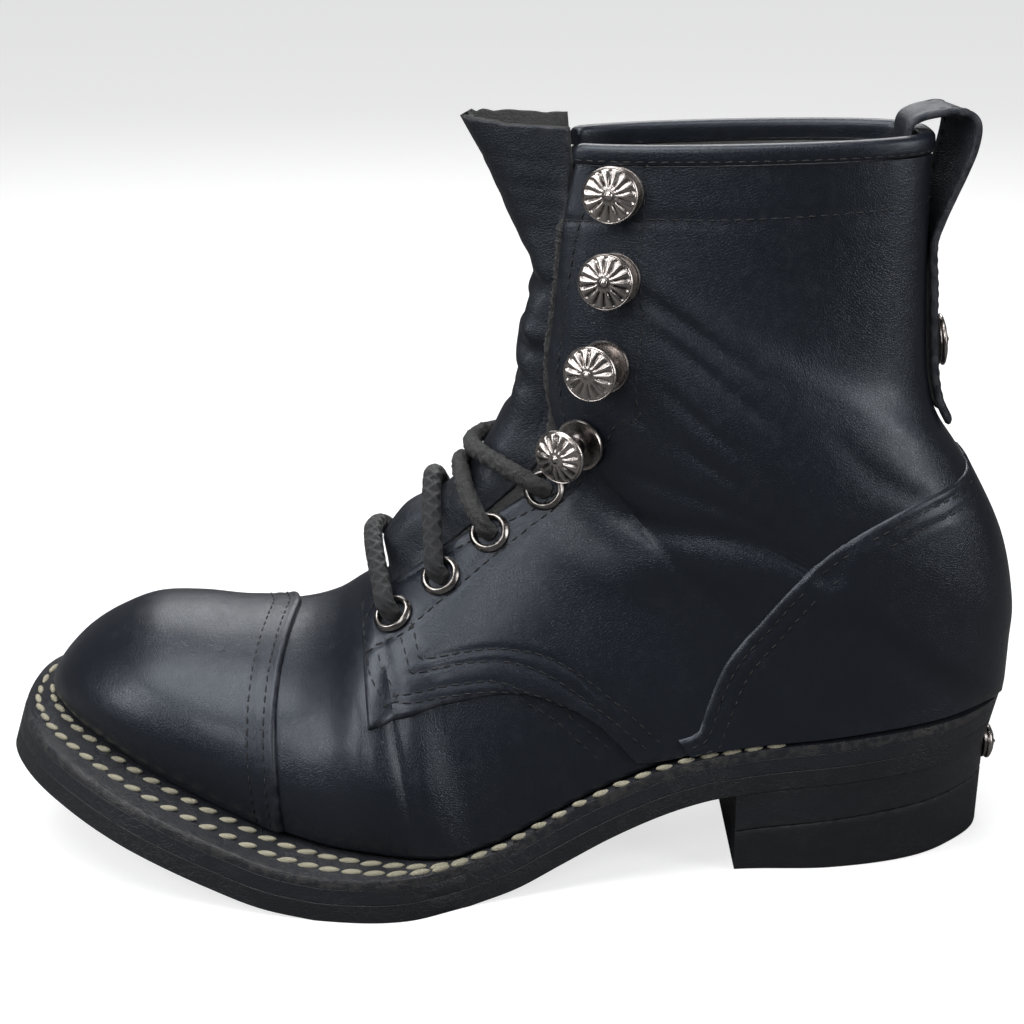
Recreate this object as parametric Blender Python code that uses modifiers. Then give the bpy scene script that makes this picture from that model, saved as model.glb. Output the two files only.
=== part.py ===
# Lace-up boot, left foot: the solids of its upper, sole, heel and fittings.
# Metres, +Z up. The toe points to -Y, the outer (lateral) side of the foot is +X,
# and the boot stands on its heel and the ball of its forefoot at z = 0.
#
# Places on the boot are first given as (along, side, up): along runs from the
# rearmost point of the sole to the toe, side is + to the lateral side.
# Tables hold shares of the named sizes that their columns follow.

import math

import bmesh
import bpy
import numpy as np
from mathutils import Matrix, Vector

# Driving sizes
SOLE_LENGTH = 0.300
BALL_WIDTH = 0.116
INSTEP_HEIGHT = 0.078
COLLAR_HEIGHT = 0.2045
SHAFT_WIDTH = 0.060
REAR_FULLNESS = 0.80
REAR_SQUARE = 0.20
TOE_SPRING = 0.0246
TOE_LEAN = 0.13
BREAST_HEIGHT = 0.0249
HEEL_REAR_HEIGHT = 0.0308
HEEL_LENGTH = 0.0832
HEEL_LAYER = 0.0118
HEEL_DRAW = 0.0020
BREAST_RAKE = 0.0030

OUTSOLE = 0.0055
MIDSOLE = 0.0042
WELT = 0.0027
WELT_MARGIN = 0.015
WELT_RISE = 0.25
FOREFOOT_ROLL = 0.115
SEAT_LEAN = 0.0038
INSOLE = 0.006
FEATHER_TOE = 0.011
FEATHER_HEEL = 0.0026

WALL = 0.0022
OVERLAY = 0.0013
COUNTER = 0.0019
TONGUE = 0.0026
GUSSET = 0.0012
THROAT_HALF = 0.0205
THROAT_DRAW = 0.0060
TONGUE_HALF = 0.0168
TONGUE_LEAN = 0.0236
TONGUE_OVER = 0.0105
TONGUE_DEPTH = 0.0036
GUSSET_WIDTH = 0.0052
GUSSET_DEPTH = 0.0040
WELT_LAP = 0.0006
INSOLE_CLEAR = 0.0029
SEAM_SHARE = 0.004
EDGE_SHARE = 0.965
CAP_SHARE = 0.928
GAP = 0.0003
SEAT = 0.0004
WELD = 0.00002

EYELET_OUTER = 0.0120
EYELET_HOLE = 0.0077
EYELET_RIM = 0.0011
EYELET_WALL = 0.0003
LACE = 0.0053
STUD_HEAD = 0.0156
STUD_BASE = 0.0150
STUD_POST = 0.0052
STUD_REACH = 0.0105
STUD_CROWN = 0.0035
STRAP_WIDTH = 0.019
STRAP = 0.0022
BINDING_HEIGHT = 0.0054
ORNAMENT = 0.015
ORNAMENT_RISE = 0.0032
HEEL_STUD = 0.0105
HEEL_STUD_RISE = 0.0042

MID_ALONG = SOLE_LENGTH / 2
SOLE_STACK = OUTSOLE + MIDSOLE + WELT + 2 * GAP

# Sole outline: share of the length, then lateral and medial shares of BALL_WIDTH
OUTLINE = (
    # along, lateral, medial
    (0.000, -0.026, -0.026),
    (0.020, 0.108, -0.150),
    (0.076, 0.238, -0.250),
    (0.166, 0.306, -0.306),
    (0.265, 0.315, -0.285),
    (0.407, 0.384, -0.240),
    (0.530, 0.486, -0.288),
    (0.593, 0.568, -0.345),
    (0.656, 0.572, -0.400),
    (0.762, 0.506, -0.434),
    (0.868, 0.402, -0.415),
    (0.947, 0.232, -0.340),
    (0.9885, 0.052, -0.240),
    (1.000, -0.085, -0.085),
)

# Welt margin outside the upper, as shares of WELT_MARGIN
MARGIN = (
    # along, lateral, medial
    (0.00, 0.17, 0.17),
    (0.30, 0.20, 0.20),
    (0.50, 0.26, 0.24),
    (0.60, 0.55, 0.36),
    (0.68, 0.80, 0.50),
    (0.75, 0.95, 0.62),
    (0.85, 1.00, 0.72),
    (1.00, 0.85, 0.75),
)

# Underside of the sole: toe in shares of TOE_SPRING, waist in shares of BREAST_HEIGHT
TOE_CURVE = (
    (0.680, 0.000), (0.735, 0.080), (0.785, 0.250), (0.851, 0.510),
    (0.920, 0.780), (0.960, 0.915), (1.000, 1.000),
)
WAIST_CURVE = (
    (0.272, 1.000), (0.305, 0.955), (0.348, 0.825), (0.397, 0.610),
    (0.447, 0.340), (0.490, 0.120), (0.535, 0.000),
)
SEAT_CURVE = ((0.000, 1.000), (0.090, 0.860), (0.180, 0.500), (0.272, 0.000))

# Sections of the upper. front is the ridge from the toe tip up to the collar, edge is the
# feather line round to the heel, and then the back seam. Up to 1 the heights are shares
# of INSTEP_HEIGHT, and from 1 to 2 they run on to COLLAR_HEIGHT.
SECTIONS = (
    # front along, front up, edge along, edge up, bulge, shaft, mix, fullness, ridge
    (0.9560, 0.550, 0.9985, None, 1.02, 0.60, 0.00, 0.88, -0.085),
    (0.9490, 0.606, 0.9820, None, 1.04, 0.60, 0.00, 0.88, -0.085),
    (0.9370, 0.670, 0.9550, None, 1.05, 0.60, 0.00, 0.88, -0.085),
    (0.9180, 0.742, 0.9230, None, 1.06, 0.60, 0.00, 0.88, -0.085),
    (0.8910, 0.810, 0.8890, None, 1.06, 0.60, 0.00, 0.88, -0.080),
    (0.8540, 0.868, 0.8570, None, 1.06, 0.60, 0.00, 0.89, -0.076),
    (0.8100, 0.876, 0.8240, None, 1.06, 0.60, 0.00, 0.91, -0.072),
    (0.7590, 0.862, 0.7860, None, 1.05, 0.60, 0.00, 0.93, -0.068),
    (0.7040, 0.878, 0.7450, None, 1.05, 0.60, 0.00, 0.95, -0.064),
    (0.6680, 0.922, 0.6900, None, 1.05, 0.70, 0.00, 0.98, -0.056),
    (0.6390, 1.000, 0.6330, None, 1.06, 0.80, 0.00, 1.02, -0.043),
    (0.5980, 1.110, 0.5430, None, 1.06, 0.90, 0.25, 1.08, -0.026),
    (0.5520, 1.227, 0.4400, None, 1.05, 1.00, 0.60, 1.06, -0.013),
    (0.5110, 1.337, 0.3310, None, 1.04, 1.06, 0.90, 0.98, -0.009),
    (0.4860, 1.439, 0.2250, None, 1.03, 1.12, 1.00, 0.90, -0.009),
    (0.4760, 1.533, 0.1190, None, 1.03, 1.16, 1.00, 0.85, -0.009),
    (0.4690, 1.612, 0.0330, None, 1.03, 1.18, 1.00, 0.80, -0.009),
    (0.4640, 1.682, 0.0080, 0.770, 1.00, 1.17, 1.00, 0.76, -0.009),
    (0.4610, 1.745, 0.0076, 0.950, 1.00, 1.13, 1.00, 0.72, -0.009),
    (0.4590, 1.800, 0.0228, 1.130, 1.00, 1.06, 1.00, 0.68, -0.009),
    (0.4570, 1.855, 0.0585, 1.300, 1.00, 0.98, 1.00, 0.64, -0.009),
    (0.4550, 1.906, 0.0960, 1.455, 1.00, 0.90, 1.00, 0.60, -0.009),
    (0.4530, 1.953, 0.1060, 1.706, 1.00, 0.82, 1.00, 0.56, -0.009),
    (0.4510, 2.000, 0.1080, 2.016, 1.00, 0.75, 1.00, 0.52, -0.009),
)
LAST = len(SECTIONS) - 1
CAP_ROW = 8.0
QUARTER_ROW = 10.0
THROAT_ROW = 10.3
HEEL_ROW = 16.35
BACKSTAY_ROWS = (20.6, 20.9, 21.2, 21.6, 22.0)
DISC_STEP = 2.8
COUNTER_ROWS = (13.08, 13.5, 14.0, 14.5, 15.0, 15.5, 16.0, 16.25, 16.35, 17.2, 18.1, 19.0, 19.5,
                19.8, 20.0)
COUNTER_TOP = 20.1
VAMP_ROWS = (0.0, 0.4, 1.0, 2.0, 3.0, 4.0, 5.0, 6.0, 7.0, 8.0, 9.0)
QUARTER_ROWS = (10.0, 10.3, 10.65, 11.0, 11.5, 12.0, 12.5, *COUNTER_ROWS[:-1], COUNTER_TOP,
                21.0, 22.0, 23.0)

# Columns of the upper on each side: shares of the way from the throat's edge to the seam of
# quarter and counter, and from that seam to the feather or the back
FRONT_COLUMNS = (0.0, 0.09, 0.25, 0.44, 0.63, 0.82, 1.0)
REAR_COLUMNS = (0.34, 0.67, 1.0)
VAMP_SEAM = 0.62
BACK_SEAM = 0.66

# Lower edge of the quarter, then the front edge of the counter, seen from the side:
# shares of the length and heights counted as in SECTIONS
QUARTER_EDGE = (
    # along, up
    (0.665, 0.655), (0.620, 0.685), (0.563, 0.731), (0.513, 0.756), (0.477, 0.744),
    (0.440, 0.686), (0.407, 0.603), (0.377, 0.468), (0.340, 0.470),
)
COUNTER_EDGE = (
    # along, up
    (0.322, 0.440), (0.318, 0.560), (0.307, 0.700), (0.290, 0.850), (0.263, 0.985),
    (0.225, 1.105), (0.178, 1.192), (0.120, 1.258), (0.070, 1.290), (0.035, 1.325),
)

# Tongue: how far its middle stands out of the ridge, as a share of LACE
TONGUE_RISE = (
    # section, rise
    (9.60, 0.00), (10.50, 0.55), (10.74, 0.92), (11.30, 1.16), (11.60, 0.92), (11.95, 0.42),
    (12.15, 0.30), (12.39, 0.10), (12.55, 0.22), (12.76, 0.36), (13.20, 0.58), (14.00, 0.64),
    (15.00, 0.88), (16.00, 0.98), (17.50, 0.74), (18.60, 0.52), (20.00, 0.40), (23.00, 0.25),
)

# Tongue above the collar: share of TONGUE_OVER, spread of its width
TONGUE_TOP = ((0.35, 1.01), (0.68, 1.08), (1.00, 1.18))

# Eyelets and lace studs on each side, bottom to top, seen from the side
EYELETS = ((0.6045, 0.990), (0.5595, 1.079), (0.5135, 1.176), (0.462, 1.275))
STUDS = ((0.4257, 1.391), (0.4063, 1.572), (0.3987, 1.763), (0.3963, 1.945))

# How far each flat stud base stands off the curved leather, bottom to top
STUD_LIFTS = (5 * GAP, 2.5 * GAP, 2.5 * GAP, 3.5 * GAP)

# Lace bars: the section that each one crosses the ridge at, and its height above the face
# there as a share of LACE
CRESTS = ((10.74, 1.56), (11.95, 1.28), (12.39, 0.70), (12.76, 0.96))

# Pull loop, from the backstay up, over and down inside the collar: along in shares of the
# length, up counted as in SECTIONS, how far its lateral edge is turned to the rear, and
# how closely it is bent round the shaft, which is negative where it runs down
LOOP = (
    # along, up, twist, wrap
    (0.0968, 1.806, 0.04, 0.75), (0.0935, 1.863, 0.13, 0.60), (0.0885, 1.918, 0.27, 0.45),
    (0.0820, 1.972, 0.35, 0.20), (0.0760, 2.025, 0.40, 0.05), (0.0735, 2.072, 0.38, 0.00),
    (0.0775, 2.097, 0.30, 0.00), (0.0885, 2.107, 0.15, 0.00), (0.1037, 2.102, 0.04, 0.00),
    (0.1160, 2.092, 0.02, -0.30), (0.1235, 2.076, 0.00, -0.80), (0.1247, 2.050, 0.00, -1.00),
    (0.1250, 2.000, 0.00, -1.00), (0.1250, 1.935, 0.00, -1.00), (0.1250, 1.877, 0.00, -1.00),
)


def smooth(rows, at, column=1):
    """Smooth curve through the table's rows, read at one value of the first column."""
    xs = [row[0] for row in rows]
    ys = [row[column] for row in rows]
    at = min(max(at, xs[0]), xs[-1])
    i = min(max(int(np.searchsorted(xs, at)) - 1, 0), len(xs) - 2)
    step = xs[i + 1] - xs[i]

    def slope(k):
        low, high = max(k - 1, 0), min(k + 1, len(xs) - 1)
        return (ys[high] - ys[low]) / (xs[high] - xs[low])

    u = (at - xs[i]) / step
    blend = (2 * u**3 - 3 * u**2 + 1, u**3 - 2 * u**2 + u, 3 * u**2 - 2 * u**3, u**3 - u**2)
    return (blend[0] * ys[i] + blend[1] * step * slope(i)
            + blend[2] * ys[i + 1] + blend[3] * step * slope(i + 1))


def world(along, side, up):
    return Vector((side - MID_SIDE, MID_ALONG - along, up))


def height(share):
    """Height of a section share: up to 1 within the instep, from 1 to 2 up to the collar."""
    if share <= 1:
        return share * INSTEP_HEIGHT
    return INSTEP_HEIGHT + (share - 1) * (COLLAR_HEIGHT - INSTEP_HEIGHT)


# Sole

def turned(share):
    """Angle that runs evenly round both ends of the outline."""
    return math.acos(1 - 2 * min(max(share, 0.0), 1.0))


ROUND_OUTLINE = tuple((turned(a), lateral, medial) for a, lateral, medial in OUTLINE)


def outline(share, side):
    """Sole outline's place across, at a share of the length; side is 1 lateral, -1 medial."""
    return smooth(ROUND_OUTLINE, turned(share), 1 if side > 0 else 2) * BALL_WIDTH


MID_SIDE = 0.5 * (max(outline(k / 60, 1) for k in range(61))
                  + min(outline(k / 60, -1) for k in range(61)))


def underside(share):
    """Height of the sole's underside along its lateral edge."""
    if share >= TOE_CURVE[0][0]:
        return smooth(TOE_CURVE, share) * TOE_SPRING
    if share >= WAIST_CURVE[-1][0]:
        return 0.0
    if share >= WAIST_CURVE[0][0]:
        return smooth(WAIST_CURVE, share) * BREAST_HEIGHT
    return BREAST_HEIGHT + smooth(SEAT_CURVE, share) * (HEEL_REAR_HEIGHT - BREAST_HEIGHT)


def roll(share):
    """The toe turns up a little more on its medial side."""
    u = min(max((share - 0.71) / 0.22, 0.0), 1.0)
    return FOREFOOT_ROLL * u * u * (3 - 2 * u)


def sole_point(share, side, rise):
    """(along, side, up) of a point of the sole, rise above its underside."""
    step = 0.02
    low, high = max(share - step, 0.0), min(share + step, 1.0)
    lean = math.atan2(underside(high) - underside(low), (high - low) * SOLE_LENGTH)
    lean += TOE_LEAN * max((share - 0.93) / 0.07, 0.0) ** 2
    base = underside(share) + roll(share) * (outline(share, 1) - side)
    rear = SEAT_LEAN * max(1 - share / 0.12, 0.0) ** 2 * max(1 - rise / SOLE_STACK, 0.0)
    return (share * SOLE_LENGTH - rise * math.sin(lean) + rear, side, base + rise * math.cos(lean))


def inset_outline(share, side, inset):
    """Outline drawn in by inset(share, side), with its ends drawn in too."""
    low, high = inset(0.0, side) / SOLE_LENGTH, 1 - inset(1.0, side) / SOLE_LENGTH
    at = min(max((share - low) / (high - low), 0.0), 1.0)
    step = 0.004
    before, after = max(at - step, 0.0), min(at + step, 1.0)
    run = (after - before) * SOLE_LENGTH
    slope = (outline(after, side) - outline(before, side)) / run
    centre = 0.5 * (outline(at, 1) + outline(at, -1))
    half = abs(outline(at, side) - centre)
    return centre + side * max(half - inset(at, side) / math.hypot(1, slope), half * 0.5)


def margin(share, side):
    """Width of welt outside the upper."""
    if share <= 0.0:
        return FEATHER_HEEL
    if share >= 1.0:
        return FEATHER_TOE
    return smooth(MARGIN, share, 1 if side > 0 else 2) * WELT_MARGIN


def feather(share, side, inside=0.0, rise=None):
    """(along, side, up) of the line where the upper meets the welt."""
    across = inset_outline(share, side, lambda s, d: margin(s, d) + inside)
    if rise is None:
        rise = SOLE_STACK + WELT_RISE * margin(share, side) + 3 * GAP
    return sole_point(share, across, rise)


def even_shares(count, low, high):
    """Shares from low to high, closer together at both rounded ends."""
    return [low + (high - low) * 0.5 * (1 - math.cos(math.pi * k / count)) for k in range(count + 1)]


STATIONS = even_shares(24, 0.0, 1.0)


# Mesh helpers

def new_object(name, mesh, material):
    made = bpy.data.objects.new(name, mesh)
    PARTS.objects.link(made)
    mesh.materials.append(material)
    return made


def mesh_from(name, points, faces, merge=WELD):
    """Mesh with its doubled points merged."""
    mesh = bpy.data.meshes.new(name)
    mesh.from_pydata([tuple(p) for p in points], [], faces)
    shape = bmesh.new()
    shape.from_mesh(mesh)
    bmesh.ops.remove_doubles(shape, verts=shape.verts, dist=merge)
    bmesh.ops.dissolve_degenerate(shape, edges=shape.edges, dist=WELD)
    shape.to_mesh(mesh)
    shape.free()
    return mesh


def close_up(mesh):
    """Turn all faces of a closed mesh outwards."""
    shape = bmesh.new()
    shape.from_mesh(mesh)
    bmesh.ops.recalc_face_normals(shape, faces=shape.faces)
    shape.to_mesh(mesh)
    shape.free()
    mesh.shade_smooth()
    mesh.set_sharp_from_angle(angle=math.radians(35))
    return mesh


def grid_faces(rows, columns, keep=None):
    faces = []
    for i in range(rows - 1):
        for j in range(columns - 1):
            if keep is None or keep(i, j):
                a = i * columns + j
                faces.append((a, a + 1, a + columns + 1, a + columns))
    return faces


def shell(name, points, faces, material, thickness, centred=False):
    """A sheet given its thickness: outwards, or inwards where it is negative, or both ways.

    Its rows run up the boot and its columns from the lateral to the medial side.
    """
    mesh = mesh_from(name, points, faces, GAP)
    mesh.flip_normals()
    mesh.shade_smooth()
    made = new_object(name, mesh, material)
    solid = made.modifiers.new("Thickness", "SOLIDIFY")
    solid.thickness = abs(thickness)
    solid.offset = 0.0 if centred else math.copysign(1.0, thickness)
    solid.use_even_offset = True
    solid.use_quality_normals = True
    return made


def grid_shell(name, grid, material, thickness, keep=None, centred=False):
    points = [p for row in grid for p in row]
    faces = grid_faces(len(grid), len(grid[0]), keep)
    return shell(name, points, faces, material, thickness, centred)


def closed_plate(name, layers, material):
    """A solid between two grids of points, with walls round their rims."""
    count_rows, columns = len(layers[0]), len(layers[0][0])
    count = count_rows * columns
    points = [p for rows in layers for row in rows for p in row]
    faces = grid_faces(count_rows, columns)
    faces += [tuple(count + k for k in reversed(f)) for f in faces]
    rim = [i * columns for i in range(count_rows)]
    rim += [(count_rows - 1) * columns + j for j in range(1, columns)]
    rim += [i * columns + columns - 1 for i in range(count_rows - 2, -1, -1)]
    rim += [j for j in range(columns - 2, 0, -1)]
    for k, a in enumerate(rim):
        b = rim[(k + 1) % len(rim)]
        faces.append((a, b, count + b, count + a))
    return new_object(name, close_up(mesh_from(name, points, faces)), material)


def plate(name, shares, edge, low, high, material, across=3):
    """A layer of the sole between two rises, inside the outline edge(share, side)."""
    layers = []
    for level in (low, high):
        rows = []
        for share in shares:
            lateral, medial = edge(share, 1), edge(share, -1)
            rows.append([world(*level(share, lateral + (medial - lateral) * j / across))
                         for j in range(across + 1)])
        layers.append(rows)
    return closed_plate(name, layers, material)


def turned_solid(name, profile, material, steps=16):
    """A profile of (radius, height) turned about its own Z; a closed profile makes a ring."""
    mesh = bpy.data.meshes.new(name)
    edges = [(k, k + 1) for k in range(len(profile) - 1)]
    if profile[0][0] > 0:
        edges.append((len(profile) - 1, 0))
    mesh.from_pydata([(r, 0, h) for r, h in profile], edges, [])
    made = new_object(name, mesh, material)
    screw = made.modifiers.new("Turn", "SCREW")
    screw.steps = steps
    screw.render_steps = steps
    screw.use_merge_vertices = True
    screw.merge_threshold = WELD
    screw.use_smooth_shade = True
    return made


def standing(place, outward):
    """Matrix that sets a turned piece on a surface, its Z along the surface's normal."""
    return Matrix.Translation(place) @ outward.to_track_quat("Z", "Y").to_matrix().to_4x4()


# Upper: one function gives every point of its outer face

def row_value(v, column):
    return smooth([(k, row[column]) for k, row in enumerate(SECTIONS)], v)


def front_point(v):
    """Ridge point of a section, (along, side, up)."""
    tip = feather(1 - FEATHER_TOE / SOLE_LENGTH, 1)
    point = (row_value(v, 0) * SOLE_LENGTH, row_value(v, 8) * BALL_WIDTH, height(row_value(v, 1)))
    if v >= 1:
        return point
    return tuple(t + (p - t) * v for t, p in zip(tip, point))


FEATHER_ROWS = [(k, row[2]) for k, row in enumerate(SECTIONS) if row[3] is None] + [(HEEL_ROW, 0.0)]
BACK_ROWS = [(k, row[2], row[3]) for k, row in enumerate(SECTIONS) if row[3]]


def edge_point(v, side):
    """Lower or rear end of a section, (along, side, up)."""
    if v <= HEEL_ROW:
        share = smooth(FEATHER_ROWS, v)
        reach = 1 - FEATHER_TOE / SOLE_LENGTH
        low = FEATHER_HEEL / SOLE_LENGTH
        return feather(low + share * (reach - low), side)
    start = feather(FEATHER_HEEL / SOLE_LENGTH, side)
    rows = [(HEEL_ROW, start[0], start[2])]
    rows += [(k, a * SOLE_LENGTH, height(u)) for k, a, u in BACK_ROWS]
    return (smooth(rows, v, 1), row_value(v, 8) * BALL_WIDTH, smooth(rows, v, 2))


def section(v, side):
    """What a section needs: its two ends, half width, front and rear fullness, last angle."""
    front, edge = front_point(v), edge_point(v, side)
    reach = abs(edge[1] - front[1])
    mix = row_value(v, 6)
    half = (1 - mix) * row_value(v, 4) * reach + mix * row_value(v, 5) * SHAFT_WIDTH / 2
    half = max(half, reach * 1.01, 0.0005)
    full = row_value(v, 7)
    square = REAR_SQUARE * min(max((v - 17) / (LAST - 17), 0.0), 1.0)
    rear = (1 - mix) * full + mix * (REAR_FULLNESS - square)
    last = math.pi - math.asin(min((reach / half) ** (1 / rear), 1.0))
    return front, edge, half, (full, rear), last


def base_point(v, a):
    """Point of the upper's face; a runs from 1 (lateral edge) over 0 (ridge) to -1."""
    side = 1 if a >= 0 else -1
    front, edge, half, full, last = section(v, side)
    angle = abs(a) * last
    along = (1 - math.cos(angle)) / (1 - math.cos(last))
    bow = half * max(math.sin(angle), 0.0) ** full[0 if angle < math.pi / 2 else 1]
    return np.array((front[0] + (edge[0] - front[0]) * along,
                     front[1] + side * bow,
                     front[2] + (edge[2] - front[2]) * along))


def normal(v, a):
    """Outward direction of the upper's face."""
    step = 0.02
    v0, v1 = max(v - 0.15, 0.02), min(v + 0.15, LAST)
    a0, a1 = max(a - step, -1.0), min(a + step, 1.0)
    across = base_point(v, a1) - base_point(v, a0)
    up = base_point(v1, a) - base_point(v0, a)
    found = np.cross(across, up)
    return found / max(np.linalg.norm(found), 1e-12)


def face_point(v, a, offset=0.0):
    return world(*(base_point(v, a) + normal(v, a) * offset))


def side_angle(v, side, crossing):
    """The a at which a section, seen from the side, is a given way from ridge to edge."""
    last = section(v, side)[4]
    turn = 1 - crossing * (1 - math.cos(last))
    return side * math.acos(min(max(turn, -1.0), 1.0)) / last


def throat_angle(v, side, half):
    """The a at which a section is half wide, near its ridge."""
    _, _, width, full, last = section(v, side)
    return side * math.asin(min((half / width) ** (1 / full[0]), 0.98)) / last


def crossing_of(v, rows):
    """Where a section's line, seen from the side, crosses a curve of (along, up) shares."""
    front, edge = front_point(v), edge_point(v, 1)
    f = np.array((front[0], front[2]))
    d = np.array((edge[0], edge[2])) - f
    curve = [np.array((a * SOLE_LENGTH, height(u))) for a, u in rows]
    for p, q in zip(curve, curve[1:]):
        e = q - p
        det = d[0] * -e[1] + d[1] * e[0]
        if abs(det) < 1e-12:
            continue
        r = p - f
        t = (r[0] * -e[1] + r[1] * e[0]) / det
        u = (d[0] * r[1] - d[1] * r[0]) / det
        if -0.001 <= u <= 1.001 and 0.02 < t < 1.0:
            return t
    return 1.0


def locate(along, up, side):
    """(v, a) of the face point seen from one side at this place."""
    place = np.array((along * SOLE_LENGTH, height(up)))

    def miss(v):
        front, edge = front_point(v), edge_point(v, side)
        d = np.array((edge[0] - front[0], edge[2] - front[2]))
        r = place - np.array((front[0], front[2]))
        return d[0] * r[1] - d[1] * r[0]

    low, high = 7.0, float(LAST)
    start = miss(low)
    for _ in range(40):
        middle = 0.5 * (low + high)
        if miss(middle) * start > 0:
            low = middle
        else:
            high = middle
    v = 0.5 * (low + high)
    front, edge = front_point(v), edge_point(v, side)
    d = np.array((edge[0] - front[0], edge[2] - front[2]))
    r = place - np.array((front[0], front[2]))
    return v, side_angle(v, side, float(r @ d) / float(d @ d))


def span(low, high, count):
    return [low + (high - low) * k / count for k in range(count + 1)]


# Materials

def material(name, colour, roughness, metallic=0.0):
    made = bpy.data.materials.new(name)
    made.use_nodes = True
    shader = made.node_tree.nodes["Principled BSDF"]
    shader.inputs["Base Color"].default_value = (*colour, 1)
    shader.inputs["Roughness"].default_value = roughness
    shader.inputs["Metallic"].default_value = metallic
    made.diffuse_color = (*colour, 1)
    return made


# Pieces of the sole

def make_sole():
    shares = STATIONS

    def layer(name, low, high, finish):
        plate(name, shares, outline,
              lambda s, x: sole_point(s, x, low), lambda s, x: sole_point(s, x, high), finish)

    layer("outsole", 0.0, OUTSOLE, RUBBER)
    layer("midsole", OUTSOLE + GAP, OUTSOLE + GAP + MIDSOLE, SOLE_LEATHER)
    make_welt()
    make_heel()
    make_insole()


def make_welt():
    """A band round the sole whose top rises from its edge to the upper and runs under it."""
    bottom = SOLE_STACK - WELT
    stations = [(s, 1) for s in STATIONS] + [(s, -1) for s in STATIONS[-2:0:-1]]
    points = []
    for share, side in stations:
        low = FEATHER_HEEL / SOLE_LENGTH
        high = 1 - FEATHER_TOE / SOLE_LENGTH
        at = low + share * (high - low)
        shelf = SOLE_STACK + WELT_RISE * margin(at, side)
        inner_low = low + WELT_LAP / SOLE_LENGTH
        inner_high = high - WELT_LAP / SOLE_LENGTH
        inner = inner_low + share * (inner_high - inner_low)
        tip = 2 * GAP * min(max((share - 0.95) / 0.04, 0.0), 1.0)
        points += [world(*sole_point(share, outline(share, side), bottom + tip)),
                   world(*sole_point(share, outline(share, side), SOLE_STACK)),
                   world(*feather(at, side, 0.0, shelf)),
                   world(*feather(inner, side, WELT_LAP, shelf)),
                   world(*feather(inner, side, WELT_LAP, bottom + 5 * GAP))]
    ring = 5
    faces = []
    for k in range(len(stations)):
        n = (k + 1) % len(stations)
        for j in range(ring):
            m = (j + 1) % ring
            faces.append((k * ring + j, k * ring + m, n * ring + m, n * ring + j))
    new_object("welt", close_up(mesh_from("welt", points, faces)), SOLE_LEATHER)


def lift_top(share):
    """Top of the rubber lift, one heel layer under the seat."""
    return underside(share) - HEEL_LAYER - GAP


def heel_edge(share, side, draw, start):
    """Heel outline: the seat's own, starting further in at the rear and drawn in a little."""
    at = (share - start / SOLE_LENGTH) / (1 - start / SOLE_LENGTH)
    centre = 0.5 * (outline(at, 1) + outline(at, -1))
    half = 0.5 * (outline(at, 1) - outline(at, -1))
    return centre + (outline(at, side) - centre) * (1 - draw / max(half, HEEL_LENGTH / 4))


def make_heel():
    breast = HEEL_LENGTH / SOLE_LENGTH

    def heel_plate(name, levels, finish):
        layers = []
        for level, draw, start, rake in levels:
            first = start / SOLE_LENGTH
            rows = []
            for at in even_shares(16, first, 2 * breast - first)[:9]:
                lateral, medial = heel_edge(at, 1, draw, start), heel_edge(at, -1, draw, start)
                lean = rake * (at / breast) ** 8 / 4
                rows.append([world(at * SOLE_LENGTH + lean * j, lateral + (medial - lateral) * j / 4,
                                   level(at)) for j in range(5)])
            layers.append(rows)
        closed_plate(name, layers, finish)

    # height, draw at the sides, start at the rear, rake of the breast's medial end
    seam = (HEEL_DRAW * 0.6, SEAT_LEAN + HEEL_DRAW * 0.5, BREAST_RAKE / 2)
    heel_plate("heel_lift", ((lambda s: 0.0, HEEL_DRAW, SEAT_LEAN + HEEL_DRAW * 0.85, 0.0),
                             (lift_top, *seam)), RUBBER)
    heel_plate("heel_base", ((lambda s: lift_top(s) + GAP, *seam),
                             (lambda s: underside(s) - 2 * GAP, HEEL_DRAW * 0.2,
                              SEAT_LEAN + HEEL_DRAW * 0.25, BREAST_RAKE)), SOLE_LEATHER)


def make_insole():
    inside = WALL + INSOLE_CLEAR
    low = (FEATHER_HEEL + inside) / SOLE_LENGTH
    high = 1 - (FEATHER_TOE + inside) / SOLE_LENGTH
    shares = [low] + [share for share in STATIONS if low < share < high] + [high]

    def edge(share, side):
        return feather(share, side, inside, SOLE_STACK)[1]

    bottom = OUTSOLE + MIDSOLE + 3 * GAP
    plate("insole", shares, edge, lambda s, x: sole_point(s, x, bottom),
          lambda s, x: sole_point(s, x, bottom + INSOLE), LINING)


# Pieces of the upper

def seam(v, side):
    """The a of the seam that the columns follow: the quarter's lower edge, then the counter's."""
    if v < QUARTER_ROW:
        u = min(max(v - QUARTER_ROW + 2, 0.0), 2.0) / 2
        return VAMP_SEAM * (1 - u) + abs(side_angle(v, side, crossing_of(QUARTER_ROW, QUARTER_EDGE))) * u
    if v < COUNTER_ROWS[0]:
        return min(abs(side_angle(v, side, crossing_of(v, QUARTER_EDGE))), EDGE_SHARE)
    if v < HEEL_ROW:
        found = abs(side_angle(v, side, crossing_of(v, COUNTER_EDGE)))
        return min(found, EDGE_SHARE - 2 * SEAM_SHARE)
    top = 1 - 12 * SEAM_SHARE
    if v <= COUNTER_TOP:
        return min(abs(side_angle(v, side, crossing_of(v, COUNTER_EDGE))), top)
    u = min((v - COUNTER_TOP) / 1.5, 1.0)
    return top * (1 - u) + BACK_SEAM * u


def columns(v, side, stop=1.0, gap=0.0):
    """The a of each column on one side; gap draws the front ones back from the seam."""
    throat, edge = abs(throat_angle(v, side, throat_half(v))), seam(v, side)
    front = [throat + (edge - gap - throat) * share for share in FRONT_COLUMNS]
    return [side * a for a in front + rear_columns(edge, stop)]


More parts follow.
